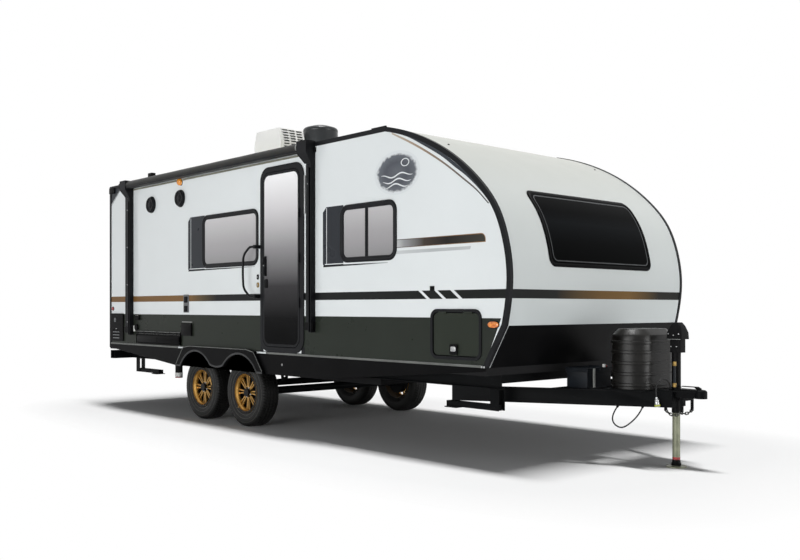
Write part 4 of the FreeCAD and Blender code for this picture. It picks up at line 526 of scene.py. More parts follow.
near_black, slate, film_white = (20, 21, 23), (44, 47, 52), (232, 236, 237)
belt_film = make_film("belt_film", [(-2.55, (120, 88, 50)), (-0.62, (122, 90, 52)), (-0.35, (84, 70, 48)),
                                    (-0.05, near_black), (3.9, (24, 27, 26))])
olive_film = make_film("olive_film", [(-2.55, (37, 41, 35)), (1.4, (38, 43, 37)), (3.9, (42, 46, 41))],
                       roughness=0.3)
crescent_film = make_film("crescent_film", [(2.6, (42, 46, 50)), (3.2, (64, 68, 74)), (3.8, (50, 54, 58))])
tan_film = make_film("tan_film", [(2.65, (188, 176, 160)), (3.05, (158, 138, 118)), (3.35, (120, 110, 102)),
                                  (3.75, (62, 64, 66))])
window_film = make_film("window_film", [(-2.4, slate), (3.0, slate)], roughness=0.3)
fading_film = make_film("fading_film", [(-0.64, near_black), (0.2, near_black), (0.73, (205, 210, 211)),
                                        (1.74, near_black), (2.3, near_black), (2.72, (205, 210, 211))])
white_film = make_film("white_film", [(-2.6, film_white), (3.9, film_white)])
dart_film = make_film("dart_film", [(2.70, (206, 208, 209)), (2.82, (150, 152, 153)), (3.05, (66, 58, 52)),
                                    (3.3, (36, 33, 31)), (3.7, (62, 60, 54))])
dart_edge_film = make_film("dart_edge_film", [(2.70, (74, 74, 74)), (2.95, (96, 72, 50)), (3.7, (150, 112, 74))])
shade_film = make_film("shade_film", [(2.70, (206, 210, 211)), (3.1, (182, 186, 188)), (3.6, (192, 196, 198))])
print("films", belt_film.name, olive_film.name)

# %% Measure what the films have to go round
def side_box(node):
    """Rear x, front x and bottom z of a node, with x in metres from the axle middle."""
    low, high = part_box(node)
    return low.x - along(0.0), high.x - along(0.0), low.z


door_rear, door_front = side_box("door_frame")[:2]
locker_rear, locker_front, locker_bottom = side_box("locker_frames")
film_rear = rear_x - along(0.0) + 0.012
band_bottom, band_top = wall_bottom_z + 0.016, 1.119
belt_bottom, belt_top, belt_front = 1.264, 1.331, 3.925
nose_edge = curve_through([(2.592, 2.684), (2.862, 2.598), (3.088, 2.503), (3.285, 2.394), (3.474, 2.262),
                           (3.611, 2.147), (3.736, 2.023), (3.805, 1.913), (3.841, 1.845)], 60)
print("door", round(door_rear, 3), round(door_front, 3), "locker", round(locker_rear, 3), round(locker_front, 3))

# %% Lay the lower band and the belt
ring_inset, ring_radius, frame_cover = 0.015, 0.055, 0.046
hole_rear, hole_front = locker_rear + ring_inset, locker_front - ring_inset
hole_bottom, hole_middle = locker_bottom + ring_inset, (hole_rear + hole_front) / 2
before_door, after_door = door_rear + frame_cover, door_front - frame_cover
bands = [
    ("band_before_locker", np.concatenate([
        [(after_door, band_bottom), (hole_middle, band_bottom), (hole_middle, hole_bottom)],
        corner_arc(hole_rear + ring_radius, hole_bottom + ring_radius, ring_radius, 270, 180),
        [(hole_rear, band_top), (after_door, band_top)]])),
    ("band_after_locker", np.concatenate([
        [(hole_middle, band_bottom), (3.691, band_bottom), (3.853, band_top), (hole_front, band_top)],
        corner_arc(hole_front - ring_radius, hole_bottom + ring_radius, ring_radius, 0, -90),
        [(hole_middle, hole_bottom)]])),
    ("band_behind_door", box_outline(film_rear, before_door, band_bottom, band_top)),
    ("band_middle", box_outline(before_door, after_door, band_bottom, band_top))]
slashes = ((2.985, 3.023, 3.080, 3.118), (3.166, 3.200, 3.258, 3.295), (3.338, 3.377, 3.430, 3.468))
belts = {-1: [(film_rear, door_rear + 0.01), (door_front - 0.01, belt_front)], 1: [(film_rear, belt_front)]}
for side, side_name in sides:
    for name, outline in bands[:3] if side < 0 else bands:
        side_plate(side_name + "_" + name, outline, side, olive_film, slot_name="olive_panel")
    for number, ends in enumerate(belts[side]):
        side_plate("%s_belt_%d" % (side_name, number), box_outline(*ends, belt_bottom, belt_top), side, belt_film)
    for number, (top_rear, top_front, low_rear, low_front) in enumerate(slashes):
        side_plate("%s_slash_%d" % (side_name, number),
                   [(low_rear, belt_bottom), (low_front, belt_bottom), (top_front, belt_top), (top_rear, belt_top)],
                   side, white_film, 0.0004, 0.0005)
    side_plate(side_name + "_belt_tab", box_outline(3.118, 3.166, 1.329, 1.365), side, finishes["black_plastic"],
               0.004)
print("band and belt laid")

# %% Lay the crescent, the tan line and the upper dart
inner_edge = curve_through([(2.603, 2.664), (2.862, 2.569), (3.028, 2.486), (3.237, 2.372), (3.381, 2.273),
                            (3.52, 2.177), (3.692, 2.03), (3.80, 1.90)], 60)
inward = np.stack([-np.gradient(nose_edge[:, 1]), np.gradient(nose_edge[:, 0])], axis=1)
inward /= -np.linalg.norm(inward, axis=1)[:, None]
hidden_under_cap = 0.018
hidden_edge = nose_edge + hidden_under_cap * inward
tan_upper = curve_through([(2.669, 2.632), (2.883, 2.536), (3.088, 2.429), (3.285, 2.311), (3.474, 2.181),
                           (3.611, 2.081), (3.736, 1.964)])
tan_lower = curve_through([(2.669, 2.618), (2.883, 2.517), (3.088, 2.41), (3.285, 2.294), (3.474, 2.165),
                           (3.611, 2.067), (3.725, 1.962)])
left_dart_shift = -0.25
darts = (("_dart_rim", [(2.70, 1.683), (3.702, 1.681), *corner_arc(3.656, 1.703, 0.046, 0, 90), (2.70, 1.751)],
          dart_edge_film, 0.0004, 0.0),
         ("_dart", [(2.70, 1.688), (3.696, 1.686), *corner_arc(3.656, 1.703, 0.040, 0, 90), (2.70, 1.746)],
          dart_film, 0.0004, 0.0004),
         ("_dart_shade", [(2.70, 1.632), (3.545, 1.634), (3.555, 1.658), (2.70, 1.660)], shade_film, 0.0005, 0.0))
for side, side_name in sides:
    side_strip(side_name + "_crescent", hidden_edge, inner_edge, side, crescent_film)
    side_strip(side_name + "_tan_line", tan_upper, tan_lower, side, tan_film, 0.0004, 0.0005)
    for name, outline, film, proud, base in darts:
        shift = 0.0 if side < 0 else left_dart_shift
        side_plate(side_name + name, np.array(outline) + (shift, 0.0), side, film, proud, base)
print("crescent points", len(hidden_edge))

# %% Lay the films beside the windows
for side, name, rear, front, bottom, top, window_front, stripe in (
        (-1, "right_aft", -0.636, -0.29, 1.588, 2.172, 0.66, -0.580),
        (-1, "right_fore", 1.749, 2.04, 1.556, 2.09, 2.62, 1.80),
        (1, "left_aft", -2.353, -2.01, 1.588, 2.172, -1.32, -2.297),
        (1, "left_fore", 1.50, 1.79, 1.556, 2.09, 2.42, 1.551)):
    panel = [(rear, bottom + 0.03), (rear + 0.012, bottom + 0.012), (front, bottom + 0.012), (front, top),
             (rear + 0.05, top), (rear, top - 0.045)]
    line = [(rear + 0.004, bottom), (window_front, bottom + 0.008), (window_front, bottom + 0.016),
            (rear + 0.012, bottom + 0.016)]
    light = [(rear + 0.03, bottom + 0.021), (window_front - 0.06, bottom + 0.021),
             (window_front - 0.06, bottom + 0.026), (rear + 0.03, bottom + 0.029)]
    side_plate(name + "_window_film", panel, side, window_film)
    side_plate(name + "_window_line", line, side, fading_film if side < 0 else window_film)
    side_plate(name + "_window_light", light, side, white_film, 0.0003, 0.0006)
    side_plate(name + "_window_stripe", box_outline(stripe, stripe + 0.007, bottom + 0.03, top - 0.01), side,
               white_film, 0.0003, 0.0006)
for side, side_name in sides:
    side_plate(side_name + "_rear_corner_film",
               [(film_rear, 2.457), (-2.249, 2.651), (-2.249, 2.664), (film_rear, 2.664)], side, window_film)
    side_plate(side_name + "_rear_corner_line",
               [(film_rear, 2.437), (film_rear, 2.446), (-2.233, 2.651), (-2.246, 2.651)], side, window_film)
print("films beside", 4, "windows")

# %% [markdown]
# ## Tyres and wheels
# A real tyre is moulded: ring grooves and cross cuts part the tread into blocks, and the side wall
# carries low rings. The whole tyre is one grid of angle by profile, where a column of the profile can
# dip into a groove and every eighth and ninth row dips into a cross cut. Shifting each column a
# little in angle slants the cuts. A modifier stack could array one block, but a grid stays closed.

# %% Make a treaded tyre
tread_points = [
    (0.0, 0.344, 0.0, 0.3), (0.008, 0.344, 0.0, 0.3), (0.0155, 0.3439, 0.0, 0.3), (0.017, 0.3438, 1.0, 1.0),
    (0.0215, 0.3437, 1.0, 1.0), (0.023, 0.3436, 0.0, 0.35), (0.036, 0.3432, 0.0, 0.35), (0.049, 0.3424, 0.0, 0.35),
    (0.0505, 0.3423, 1.0, 1.0), (0.055, 0.3419, 1.0, 1.0), (0.0565, 0.3417, 0.0, 1.0), (0.068, 0.340, 0.0, 1.0),
    (0.078, 0.337, 0.0, 1.0), (0.087, 0.331, 0.0, 0.9), (0.0935, 0.3215, 0.0, 0.4)]
wall_points = [
    (0.0975, 0.307), (0.0992, 0.299), (0.0982, 0.297), (0.0998, 0.292), (0.100, 0.283), (0.0995, 0.262),
    (0.0977, 0.245), (0.0958, 0.238), (0.0966, 0.236), (0.0945, 0.229), (0.090, 0.217), (0.086, 0.2115),
    (0.084, 0.206), (0.084, 0.196)]
half_tyre = np.array(tread_points + [(out, radius, 0.0, 0.0) for out, radius in wall_points])
tyre_profile = np.concatenate([half_tyre[:0:-1] * (-1.0, 1.0, 1.0, 1.0), half_tyre])


def treaded_tyre(name, node, body):
    """The point at (row, column) lies at the profile's radius less 7 mm times the deeper of ring and cut."""
    rows, pitch, groove_depth, slant = 576, 8, 0.007, 0.55
    out, radius, ring, cut = tyre_profile.T
    row = np.arange(rows)[:, None]
    in_cut = np.where(row % pitch < 2, 1.0, 0.0)
    reach = radius - groove_depth * np.maximum(ring, in_cut * cut)
    angle = 2 * np.pi * row / rows + slant * np.abs(out) ** 1.1
    place = middle_of(node)
    points = np.stack([place.x + reach * np.cos(angle), np.broadcast_to(place.y + out, angle.shape),
                       place.z + reach * np.sin(angle)], axis=-1)
    mesh = make_mesh(name, points, grid_faces(rows, len(out), True, True), 1e-5)
    return place_piece(name, mesh, "tyre_rubber", None, body, node, 28.0)


wheel_names = ("front_right", "front_left", "rear_right", "rear_left")
for wheel_name in wheel_names:
    tyre = treaded_tyre(wheel_name + "_treaded_tyre", wheel_name + "_tyre", wheel_name + "_wheel")
print("tyre faces", len(tyre.data.polygons))

# %% [markdown]
# ## Rims
# The wheels are bronze with a dark brake drum behind the spokes, a black centre cap and eight nuts.
# The imported rim is one casting, so its merged copy gets three finishes by the place of each face;
# the darker bronze on the deep faces between the spokes is painted shade of that recess. Every other
# nut is bright zinc and the rest are black: lit and shaded copies of one nut.
# Where the copy touches the axle it is cut back by about a millimetre, so that it turns freely.

# %% Paint the rims
axle_tree = surface_tree("axles")
drum_paint = make_finish("brake_drum_paint", (10, 10, 10), (19, 18, 17), (0.5, 0.7), 20.0, 500.0, 0.0002, 0.15)
hub_plastic = make_finish("hub_cap_plastic", (5, 5, 6), (9, 9, 10), (0.25, 0.35), 30.0, 700.0, 0.0001, 0.12)
recess_shade_bronze = make_finish("bronze_painted_shade", (44, 34, 20), (58, 44, 26), (0.45, 0.6), 20.0, 500.0, 0.0001, 0.2, 0.4)
axle_gap, axle_shave = 0.0010, 0.0012
hub_face, nut_circle = 0.054, 0.0475
drum_radius, spoke_radius, hub_radius = 0.150, 0.190, 0.046
cap_profile = [(0.0, 0.0), (0.016, 0.0), (0.0165, 0.012), (0.0135, 0.0145), (0.0135, 0.027), (0.010, 0.032),
               (0.0, 0.034)]
nut_profile = [(-0.001, 0.0), (0.011, 0.0), (0.0105, 0.0045), (0.007, 0.0085), (0.0015, 0.0088), (0.0, 0.0105),
               (-0.001, 0.0105)]
for wheel_name in wheel_names:
    node, body = wheel_name + "_rim", wheel_name + "_wheel"
    centre = middle_of(node)
    side = 1 if centre.y > 0 else -1
    mesh = nodes[node].data.copy()
    tidy_mesh(mesh, 2e-5, 0.5)
    for vertex in mesh.vertices:
        near, normal = axle_tree.find_nearest(vertex.co, axle_gap)[:2]
        if near is not None:
            vertex.co += normal * axle_shave
    place_piece(node + "_painted", mesh, "bronze_rim", None, body, node)
    for material in (drum_paint, hub_plastic, recess_shade_bronze):
        mesh.materials.append(material)
    spots = np.empty(len(mesh.polygons) * 3)
    mesh.polygons.foreach_get("center", spots)
    spots = spots.reshape(-1, 3)
    from_axle = np.hypot(spots[:, 0] - centre.x, spots[:, 2] - centre.z)
    outwards = side * (spots[:, 1] - centre.y)
    kind = np.zeros(len(spots), dtype=np.int32)
    kind[(outwards < 0.036) & (from_axle < drum_radius)] = 1
    # Darker bronze on the deep faces between drum and spoke ends: painted shade of the recess.
    kind[(outwards < 0.045) & (from_axle >= drum_radius) & (from_axle < spoke_radius)] = 3
    kind[(outwards > 0.0555) & (from_axle < hub_radius)] = 2
    mesh.polygons.foreach_set("material_index", kind)
    turned_piece(wheel_name + "_cap_ring", centre, (0, side, 0), [(hub_face + out, radius) for out, radius in
                 cap_profile], "black_plastic", hub_plastic, body, 48)
    # Every other nut is black and the rest bright zinc: lit and shaded copies of one nut.
    for number in range(8):
        spin = 2 * np.pi * (number + 0.5) / 8
        spot = centre + Vector((nut_circle * math.cos(spin), 0.0, nut_circle * math.sin(spin)))
        turned_piece("%s_wheel_nut_%d" % (wheel_name, number), spot, (0, side, 0),
                     [(hub_face + out, radius) for out, radius in nut_profile], "zinc_plate",
                     None if number % 2 else hub_plastic, body, 6, 25.0)
print("rims painted", len(wheel_names))

# %% Raise the sidewall rings
# The rings are real; their grey, lighter than the black rubber, is a painted highlight.
ring_painted_highlight = make_finish("tyre_ring_painted_highlight", (66, 66, 62), (92, 92, 88), (0.4, 0.5), 20.0, 900.0, 0.0001, 0.25)
for wheel_name in wheel_names:
    node = wheel_name + "_tyre"
    centre, wall_tree = middle_of(node), surface_tree(node)
    side = 1 if centre.y > 0 else -1
    for number, ring in enumerate((0.226, 0.262, 0.302)):
        hit = wall_tree.ray_cast(Vector((centre.x, side * 1.4, centre.z + ring)), Vector((0.0, -side, 0.0)))[0]
        turned_piece("%s_tyre_line_%d" % (wheel_name, number), (centre.x, hit.y, centre.z), (0, side, 0), [
            (-0.004, ring - 0.0022), (0.0010, ring - 0.0014), (0.0014, ring), (0.0010, ring + 0.0014),
            (-0.004, ring + 0.0022)], "tyre_rubber", ring_painted_highlight, body_of_node[node], 96)
print("sidewall rings", 3 * len(wheel_names))

# %% [markdown]
# ## The nose: window, stripe and cap profile
# The front window is a glossy black acrylic panel set in a rolled black frame, bent to the cap's
# curve. The cap keeps one profile across its width, so a few rays beside the window measure that
# profile, and every nose piece is then laid on it as a grid of across by height.

# %% Measure the cap and lay pieces on it
cap_tree = surface_tree("front_cap")
profile_z = np.linspace(1.09, 2.66, 120)
profile_x = np.array([cap_tree.ray_cast(Vector((6.0, 0.9, float(z))), Vector((-1.0, 0.0, 0.0)))[0].x
                      for z in profile_z])
profile_slope = np.gradient(profile_x, profile_z)


def on_cap(across, height, proud):
    """The cap's point at (across, height), moved outwards along the cap's normal by proud."""
    across, height, proud = np.broadcast_arrays(np.asarray(across, float), height, proud)
    x, slope = np.interp(height, profile_z, profile_x), np.interp(height, profile_z, profile_slope)
    length = np.hypot(1.0, slope)
    return np.stack([x + proud / length, across, height - proud * slope / length], axis=-1)


def swept_mesh(name, loops):
    """A tube with a closed section: each loop is one line of the section, closed both ways."""
    points = np.stack(loops, axis=1)
    return make_mesh(name, points, grid_faces(*points.shape[:2], True, True))


def nose_ring(name, bounds, radius, profile, material, replaced=None):
    """Sweeps (inset, proud) points round a rounded rectangle on the cap: a closed grid both ways."""
    mesh = swept_mesh(name, [on_cap(*rounded_rectangle(*bounds, radius, inset).T, proud) for inset, proud in profile])
    return place_piece(name, mesh, "black_trim", material, replaced=replaced)


def nose_panel_mesh(name, bounds, radius, inset, front, back, rings=8):
    """A closed plate on the cap: loops grow from the middle in front, then shrink again behind."""
    loop = rounded_rectangle(*bounds, radius, inset)
    middle = np.array([(bounds[0] + bounds[1]) / 2, (bounds[2] + bounds[3]) / 2])
    shares = np.concatenate([np.linspace(0.0, 1.0, rings), np.linspace(1.0, 0.0, rings)])
    flat = middle + shares[:, None, None] * (loop - middle)
    points = on_cap(flat[..., 0], flat[..., 1], np.repeat([front, back], rings)[:, None])
    return make_mesh(name, points, grid_faces(2 * rings, len(loop), False, True))


print("cap profile x", round(float(profile_x.min()), 3), round(float(profile_x.max()), 3))

# %% Make the front window
frame_gloss = make_finish("glossy_black_frame", (5, 6, 7), (9, 10, 11), (0.12, 0.2), 4.0, 60.0, 0.00005, 0.03)
# The inner seam's grey, on a black frame, is a painted highlight along its bevel.
seam_painted_highlight = make_finish("window_seam_painted_highlight", (46, 48, 50), (68, 71, 73), (0.3, 0.4), 8.0, 300.0, 0.00005, 0.3)
nose_bounds = (-0.700, 0.680, 1.505, 2.105)
nose_ring("nose_window_rolled_frame", nose_bounds, 0.07, [
    (0.0, -0.001), (0.0, 0.004), (0.002, 0.0068), (0.006, 0.008), (0.020, 0.008), (0.026, 0.0065), (0.029, 0.004),
    (0.040, 0.0035), (0.040, -0.001)], frame_gloss, "window_frames")
place_piece("nose_window_pane", nose_panel_mesh("nose_window_pane", nose_bounds, 0.07, 0.030, 0.0045, 0.0005),
            "tinted_glass", nose_glass_painted_reflection, replaced="window_glass")
# Its grey finish is a painted highlight.
nose_ring("nose_window_inner_seam", (-0.652, 0.640, 1.548, 2.068), 0.05, [
    (0.0, 0.004), (0.0005, 0.0062), (0.004, 0.0066), (0.008, 0.0058), (0.009, 0.004)], seam_painted_highlight)
print("nose window height", round(nose_bounds[3] - nose_bounds[2], 3))

# %% Lay the stripe across the nose
nose_belt_film = make_film("nose_belt_film", [
    (-1.12, (18, 20, 20)), (-0.62, (24, 25, 23)), (-0.36, (78, 62, 38)), (-0.05, (112, 84, 44)),
    (0.36, (120, 90, 48)), (0.62, (82, 64, 38)), (0.80, (32, 30, 26)), (1.12, (20, 21, 20))], axis="Y")
stripe_heights = np.array([belt_bottom, 1.286, 1.309, belt_top])
stripe_points = on_cap(np.linspace(-1.134, 1.134, 60)[:, None], np.concatenate([stripe_heights, stripe_heights[::-1]]),
                       np.repeat([0.0006, 0.0], 4))
place_piece("nose_belt", make_mesh("nose_belt", stripe_points, grid_faces(60, 8, False, True, True)), "black_trim",
            nose_belt_film)
print("nose stripe", round(belt_top - belt_bottom, 3))

# %% [markdown]
# ## Side windows
# Each side window is a flat pane in a rolled frame with a wide flange. The frame's section is swept
# round a rounded rectangle, and the sliding windows have a bar where their two panes meet.

# %% Make the side windows
frame_section = [(0.0, 0.0), (0.0, 0.006), (0.0025, 0.0095), (0.008, 0.0115), (0.016, 0.012), (0.022, 0.0105),
                 (0.026, 0.007), (0.038, 0.0065), (0.044, 0.0045), (0.047, 0.0), (0.047, -0.008), (0.022, -0.008),
                 (0.022, 0.0)]
pane_inset, corner_radius = 0.044, 0.095
side_windows = (("aft", -1, (-0.333, 0.727, 1.610, 2.170)), ("fore", -1, (1.999, 2.732, 1.585, 2.087)),
                ("left_aft", 1, (-2.050, -1.250, 1.610, 2.170)), ("left_fore", 1, (1.750, 2.483, 1.585, 2.087)))
for name, side, rect in side_windows:
    ring = swept_mesh(name + "_window_frame", [
        wall_layer(rounded_rectangle(*rect, corner_radius, inset), side, height) for inset, height in frame_section])
    place_piece(name + "_window_rolled_frame", ring, "black_trim", replaced="window_frames")
    pane_loop = rounded_rectangle(*rect, corner_radius, pane_inset)
    pane = plate_mesh(name + "_window_pane", *[wall_layer(pane_loop, side, height) for height in (-0.001, -0.006)])
    place_piece(name + "_window_pane", pane, "tinted_glass", replaced="window_glass")
    if name.endswith("fore"):
        bar_x = rect[0] + 0.48 * (rect[1] - rect[0])
        for number, (rear, front, high) in enumerate(((-0.019, 0.019, 0.006), (-0.015, -0.004, 0.009))):
            side_plate("%s_window_bar_%d" % (name, number), box_outline(
                bar_x + rear, bar_x + front, rect[2] + pane_inset, rect[3] - pane_inset), side, None, high, -0.004)
print("side windows", len(side_windows))

# %% [markdown]
# ## Rounded edges
# Sheet metal and mouldings never end in a perfectly sharp edge. The pieces below are merged copies of
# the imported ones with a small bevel, which draws the thin bright lines seen along real edges.

# %% Round the edges of the sheet metal and mouldings
for width, rounded_nodes in (
        (0.0015, ("coupler", "edge_trim")),
        (0.002, ("stabiliser_brackets", "grab_handle_posts", "entry_door_leaf", "main_frame")),
        (0.003, ("skirts", "vent_panel", "awning_arms", "jack_housing", "locker_frames", "tongue_frame",
                 "left_locker_door", "right_locker_door")),
        (0.004, ("shelf_rail", "gas_bottle_cover", "rear_bumper", "door_frame")),
        (0.006, ("fenders", "battery_box"))):
    for node in rounded_nodes:
        soften(node, width)
    print("softened by", width, len(rounded_nodes))

# %% [markdown]
# ## Lamps
# Marker lamps are small domes of coloured plastic on a dark base. Each dome is a grid of rings and
# angles: the outline is an ellipse raised to a power, and the height falls off towards the rim.

# %% Make the lamps
def wall_dome(name, x, z, half_x, half_z, height, side, slot_name, material=None, base=0.0, power=2.0, fall=3.0,
              replaced=None):
    """Height is (1 - share ** fall) ** 0.5 of the full height at each share of the way to the rim."""
    rings, columns = 8, 40
    shares = np.sin(np.linspace(0.0, np.pi / 2, rings))[:, None]
    angle = np.linspace(0, 2 * np.pi, columns, endpoint=False)[None, :]
    cosine, sine = np.cos(angle), np.sin(angle)
    a = np.sign(cosine) * np.abs(cosine) ** (2 / power) * half_x
    b = np.sign(sine) * np.abs(sine) ** (2 / power) * half_z
    up = base + height * np.sqrt(np.maximum(0.0, 1 - shares ** fall))
    front = np.stack([along(x) + shares * a, side * (wall_face_y + np.broadcast_to(up, (rings, columns))),
                      z + shares * b], -1)
    back = front[::-1].copy()
    back[..., 1] = side * wall_face_y
    mesh = make_mesh(name, np.concatenate([front, back]), grid_faces(2 * rings, columns, False, True))
    return place_piece(name, mesh, slot_name, material, replaced=replaced, smooth_angle=50.0)


red_lens = make_lens("red_lens", (120, 14, 20), (176, 30, 34))
amber_lens = make_lens("deep_amber_lens", (206, 118, 22), (250, 168, 60))
for side, side_name in sides:
    for name, x, z, half_x, half_z, lens, power in (
            ("front_marker", 3.779, 1.072, 0.052, 0.0235, None, 2.4),
            ("upper_marker", -0.79, 2.570, 0.029, 0.029, amber_lens, 2.0),
            ("rear_marker", -2.470, 1.183, 0.026, 0.021, red_lens, 2.2)):
        marker = "%s_%s" % (side_name, name)
        wall_dome(marker + "_base", x, z, half_x + 0.006, half_z + 0.006, 0.007, side, "black_plastic", None, 0.0,
                  power, 8.0)
        wall_dome(marker, x, z, half_x, half_z, 0.009, side, "lamp_lens", lens, 0.005, power, replaced="lamps")
    lamp_y = side * 1.03
    for number, (low_z, high_z, lens) in enumerate(((1.012, 1.130, red_lens), (1.134, 1.196, amber_lens),
                                                    (1.200, 1.268, red_lens))):
        loop = rounded_rectangle(lamp_y - 0.044, lamp_y + 0.044, low_z, high_z, 0.012, 0.0, 5, 1)
        layers = [np.insert(loop, 0, rear_x - depth, axis=1) for depth in (0.020, 0.0)]
        place_piece("%s_tail_lamp_%d" % (side_name, number), plate_mesh("tail_lamp", *layers), "lamp_lens", lens,
                    replaced="lamps")
wall_dome("right_skirt_lamp", 1.135, 0.657, 0.010, 0.013, 0.006, -1, "bright_trim", None, 0.010)
print("lamps on each side", 6)

# %% [markdown]
# ## Speakers, locks and hatches
# Round pieces on the wall are profiles turned about a line square to the wall. Locks and latches are
# small stacks of rounded plates, each a little smaller than the one below.

# %% Make the speakers
for number, (x, z) in enumerate(((-1.462, 2.397), (-0.793, 2.379))):
    cone = turned_piece("speaker_cone_%d" % number, (along(x), -wall_face_y, z), (0, -1, 0), [
        (0.0, 0.0), (0.0, 0.080), (0.008, 0.080), (0.014, 0.077), (0.0165, 0.071), (0.0150, 0.066), (0.0085, 0.063),
        (0.0085, 0.0605), (0.0130, 0.056), (0.0145, 0.048), (0.0105, 0.040), (0.0070, 0.031), (0.0070, 0.026),
        (0.0120, 0.022), (0.0150, 0.014), (0.0155, 0.0)], "black_plastic", steps=64)
    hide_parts("speakers")
    for blade in range(10):
        radii = np.linspace(0.020, 0.066, 8)
        bend = 2 * np.pi * blade / 10 + 9.0 * (radii - 0.02)
        middle = np.stack([x + radii * np.cos(bend), z + radii * np.sin(bend)], axis=1)
        sideways = np.stack([-np.sin(bend + 0.3), np.cos(bend + 0.3)], axis=1) * 0.0022
        side_strip("speaker_%d_blade_%d" % (number, blade), middle + sideways, middle - sideways, -1, None, 0.0148,
                   0.0068)
print("speakers", 2)

# %% Make the locks, latches and hatch covers
brass = make_finish("worn_brass", (120, 96, 48), (176, 146, 86), (0.3, 0.45), 40.0, 900.0, 0.0001, 0.5, 0.8)
grey_plastic = make_finish("grey_plastic", (84, 86, 88), (112, 114, 116), (0.4, 0.5), 20.0, 600.0, 0.0001, 0.3)
pale_plastic = make_finish("pale_plastic", (206, 207, 204), (226, 227, 224), (0.35, 0.45), 16.0, 600.0, 0.0001)
# Each row: name, (rear, front, low, high), corner radius, front and back height over the wall, slot.
wall_parts = (
    ("key_lock_upper", (0.702, 0.732, 1.470, 1.520), 0.012, 0.008, 0.0, "black_trim"),
    ("key_lock_upper_barrel", (0.711, 0.723, 1.488, 1.502), 0.006, 0.011, 0.006, "zinc_plate"),
    ("key_lock_lower", (0.698, 0.736, 1.392, 1.442), 0.016, 0.007, 0.0, "black_plastic", brass),
    ("key_lock_lower_barrel", (0.710, 0.724, 1.409, 1.425), 0.006, 0.011, 0.005, "zinc_plate"),
    ("wall_catch_plate", (-0.728, -0.618, 1.142, 1.338), 0.010, 0.007, 0.0, "black_plastic", grey_plastic),
    ("wall_catch_foot", (-0.710, -0.636, 1.250, 1.318), 0.012, 0.012, 0.006, "black_plastic"),
    ("wall_catch_lip", (-0.710, -0.636, 1.150, 1.215), 0.006, 0.011, 0.006, "black_plastic"),
    ("hatch_lid", (-0.748, -0.551, 0.898, 1.018), 0.014, 0.022, 0.018, "black_plastic"),
    ("hatch_bright_line", (-0.757, -0.542, 1.034, 1.045), 0.003, 0.009, 0.0, "bright_trim"),
    ("socket_lid", (-1.842, -1.762, 1.057, 1.101), 0.010, 0.022, 0.018, "black_plastic"),
    ("socket_hinge", (-1.836, -1.768, 1.101, 1.107), 0.002, 0.023, 0.018, "zinc_plate"),
    ("shelf_line_upper", (-1.815, -0.780, 0.9165, 0.9235), 0.002, 0.0235, 0.021, "bright_trim"),
    ("shelf_line_lower", (-1.812, -0.784, 0.892, 0.898), 0.002, 0.0235, 0.021, "bright_trim"),
    ("shelf_lip", (-1.79, -0.80, 0.795, 0.872), 0.008, 0.0245, 0.021, "dark_panel"),
    ("shelf_seam", (-1.302, -1.296, 0.792, 0.875), 0.002, 0.0252, 0.021, "black_plastic"),
    ("inlet_flap", (-1.905, -1.866, 0.915, 0.985), 0.012, 0.012, 0.0, "black_plastic", pale_plastic),
    # A grey rounded spot on the black vent panel: a painted highlight.
    ("vent_highlight_spot", (-2.400, -2.352, 1.020, 1.072), 0.016, 0.021, 0.014, "black_plastic", grey_plastic),
    ("vent_dot", (-2.358, -2.334, 0.932, 0.946), 0.006, 0.020, 0.014, "zinc_plate"),
    *(("vent_slat_%d" % number, (-2.432, -2.262, low, low + 0.013), 0.004, 0.020, 0.013, "black_plastic",
       grey_plastic) for number, low in enumerate((0.893, 0.857, 0.821))),
    ("roller_catch", (1.610, 1.652, 2.598, 2.646), 0.006, 0.020, 0.0, "black_plastic"),
    ("corner_block", (-2.540, -2.405, 2.600, 2.672), 0.008, 0.020, 0.0, "black_plastic"))
for part in wall_parts:
    wall_plate(*part)
for part in (
        ("door_knob_plate", (0.838, 0.879, 1.610, 1.682), 0.014, 0.034, 0.031, "black_plastic"),
        ("door_knob", (0.846, 0.872, 1.636, 1.664), 0.012, 0.042, 0.033, "black_trim"),
        ("door_paddle", (0.842, 0.875, 1.512, 1.590), 0.010, 0.038, 0.031, "black_trim"),
        ("door_key", (0.853, 0.865, 1.595, 1.607), 0.005, 0.036, 0.031, "zinc_plate"),
        ("door_guard_plate", (0.850, 0.905, 1.385, 1.470), 0.012, 0.018, 0.011, "black_plastic")):
    wall_plate(*part, body="entry_door")
for name, *values in (
        ("locker_latch_body", (3.345, 3.423, 0.837, 0.918), 0.012, 0.0185, 0.012, "black_plastic"),
        ("locker_latch_thumb", (3.358, 3.410, 0.862, 0.900), 0.008, 0.0205, 0.016, "zinc_plate")):
    wall_plate(name, *values, body="right_locker_lid")
    wall_plate("left_" + name, *values, side=1, body="left_locker_lid")
print("wall parts", len(wall_parts))

# %% [markdown]
# ## The round picture by the nose
# The photographed trailer wears a printed scene here. This one carries a plain design of its own: a
# slate disc whose rim melts into the wall, with a small ring and three waves.

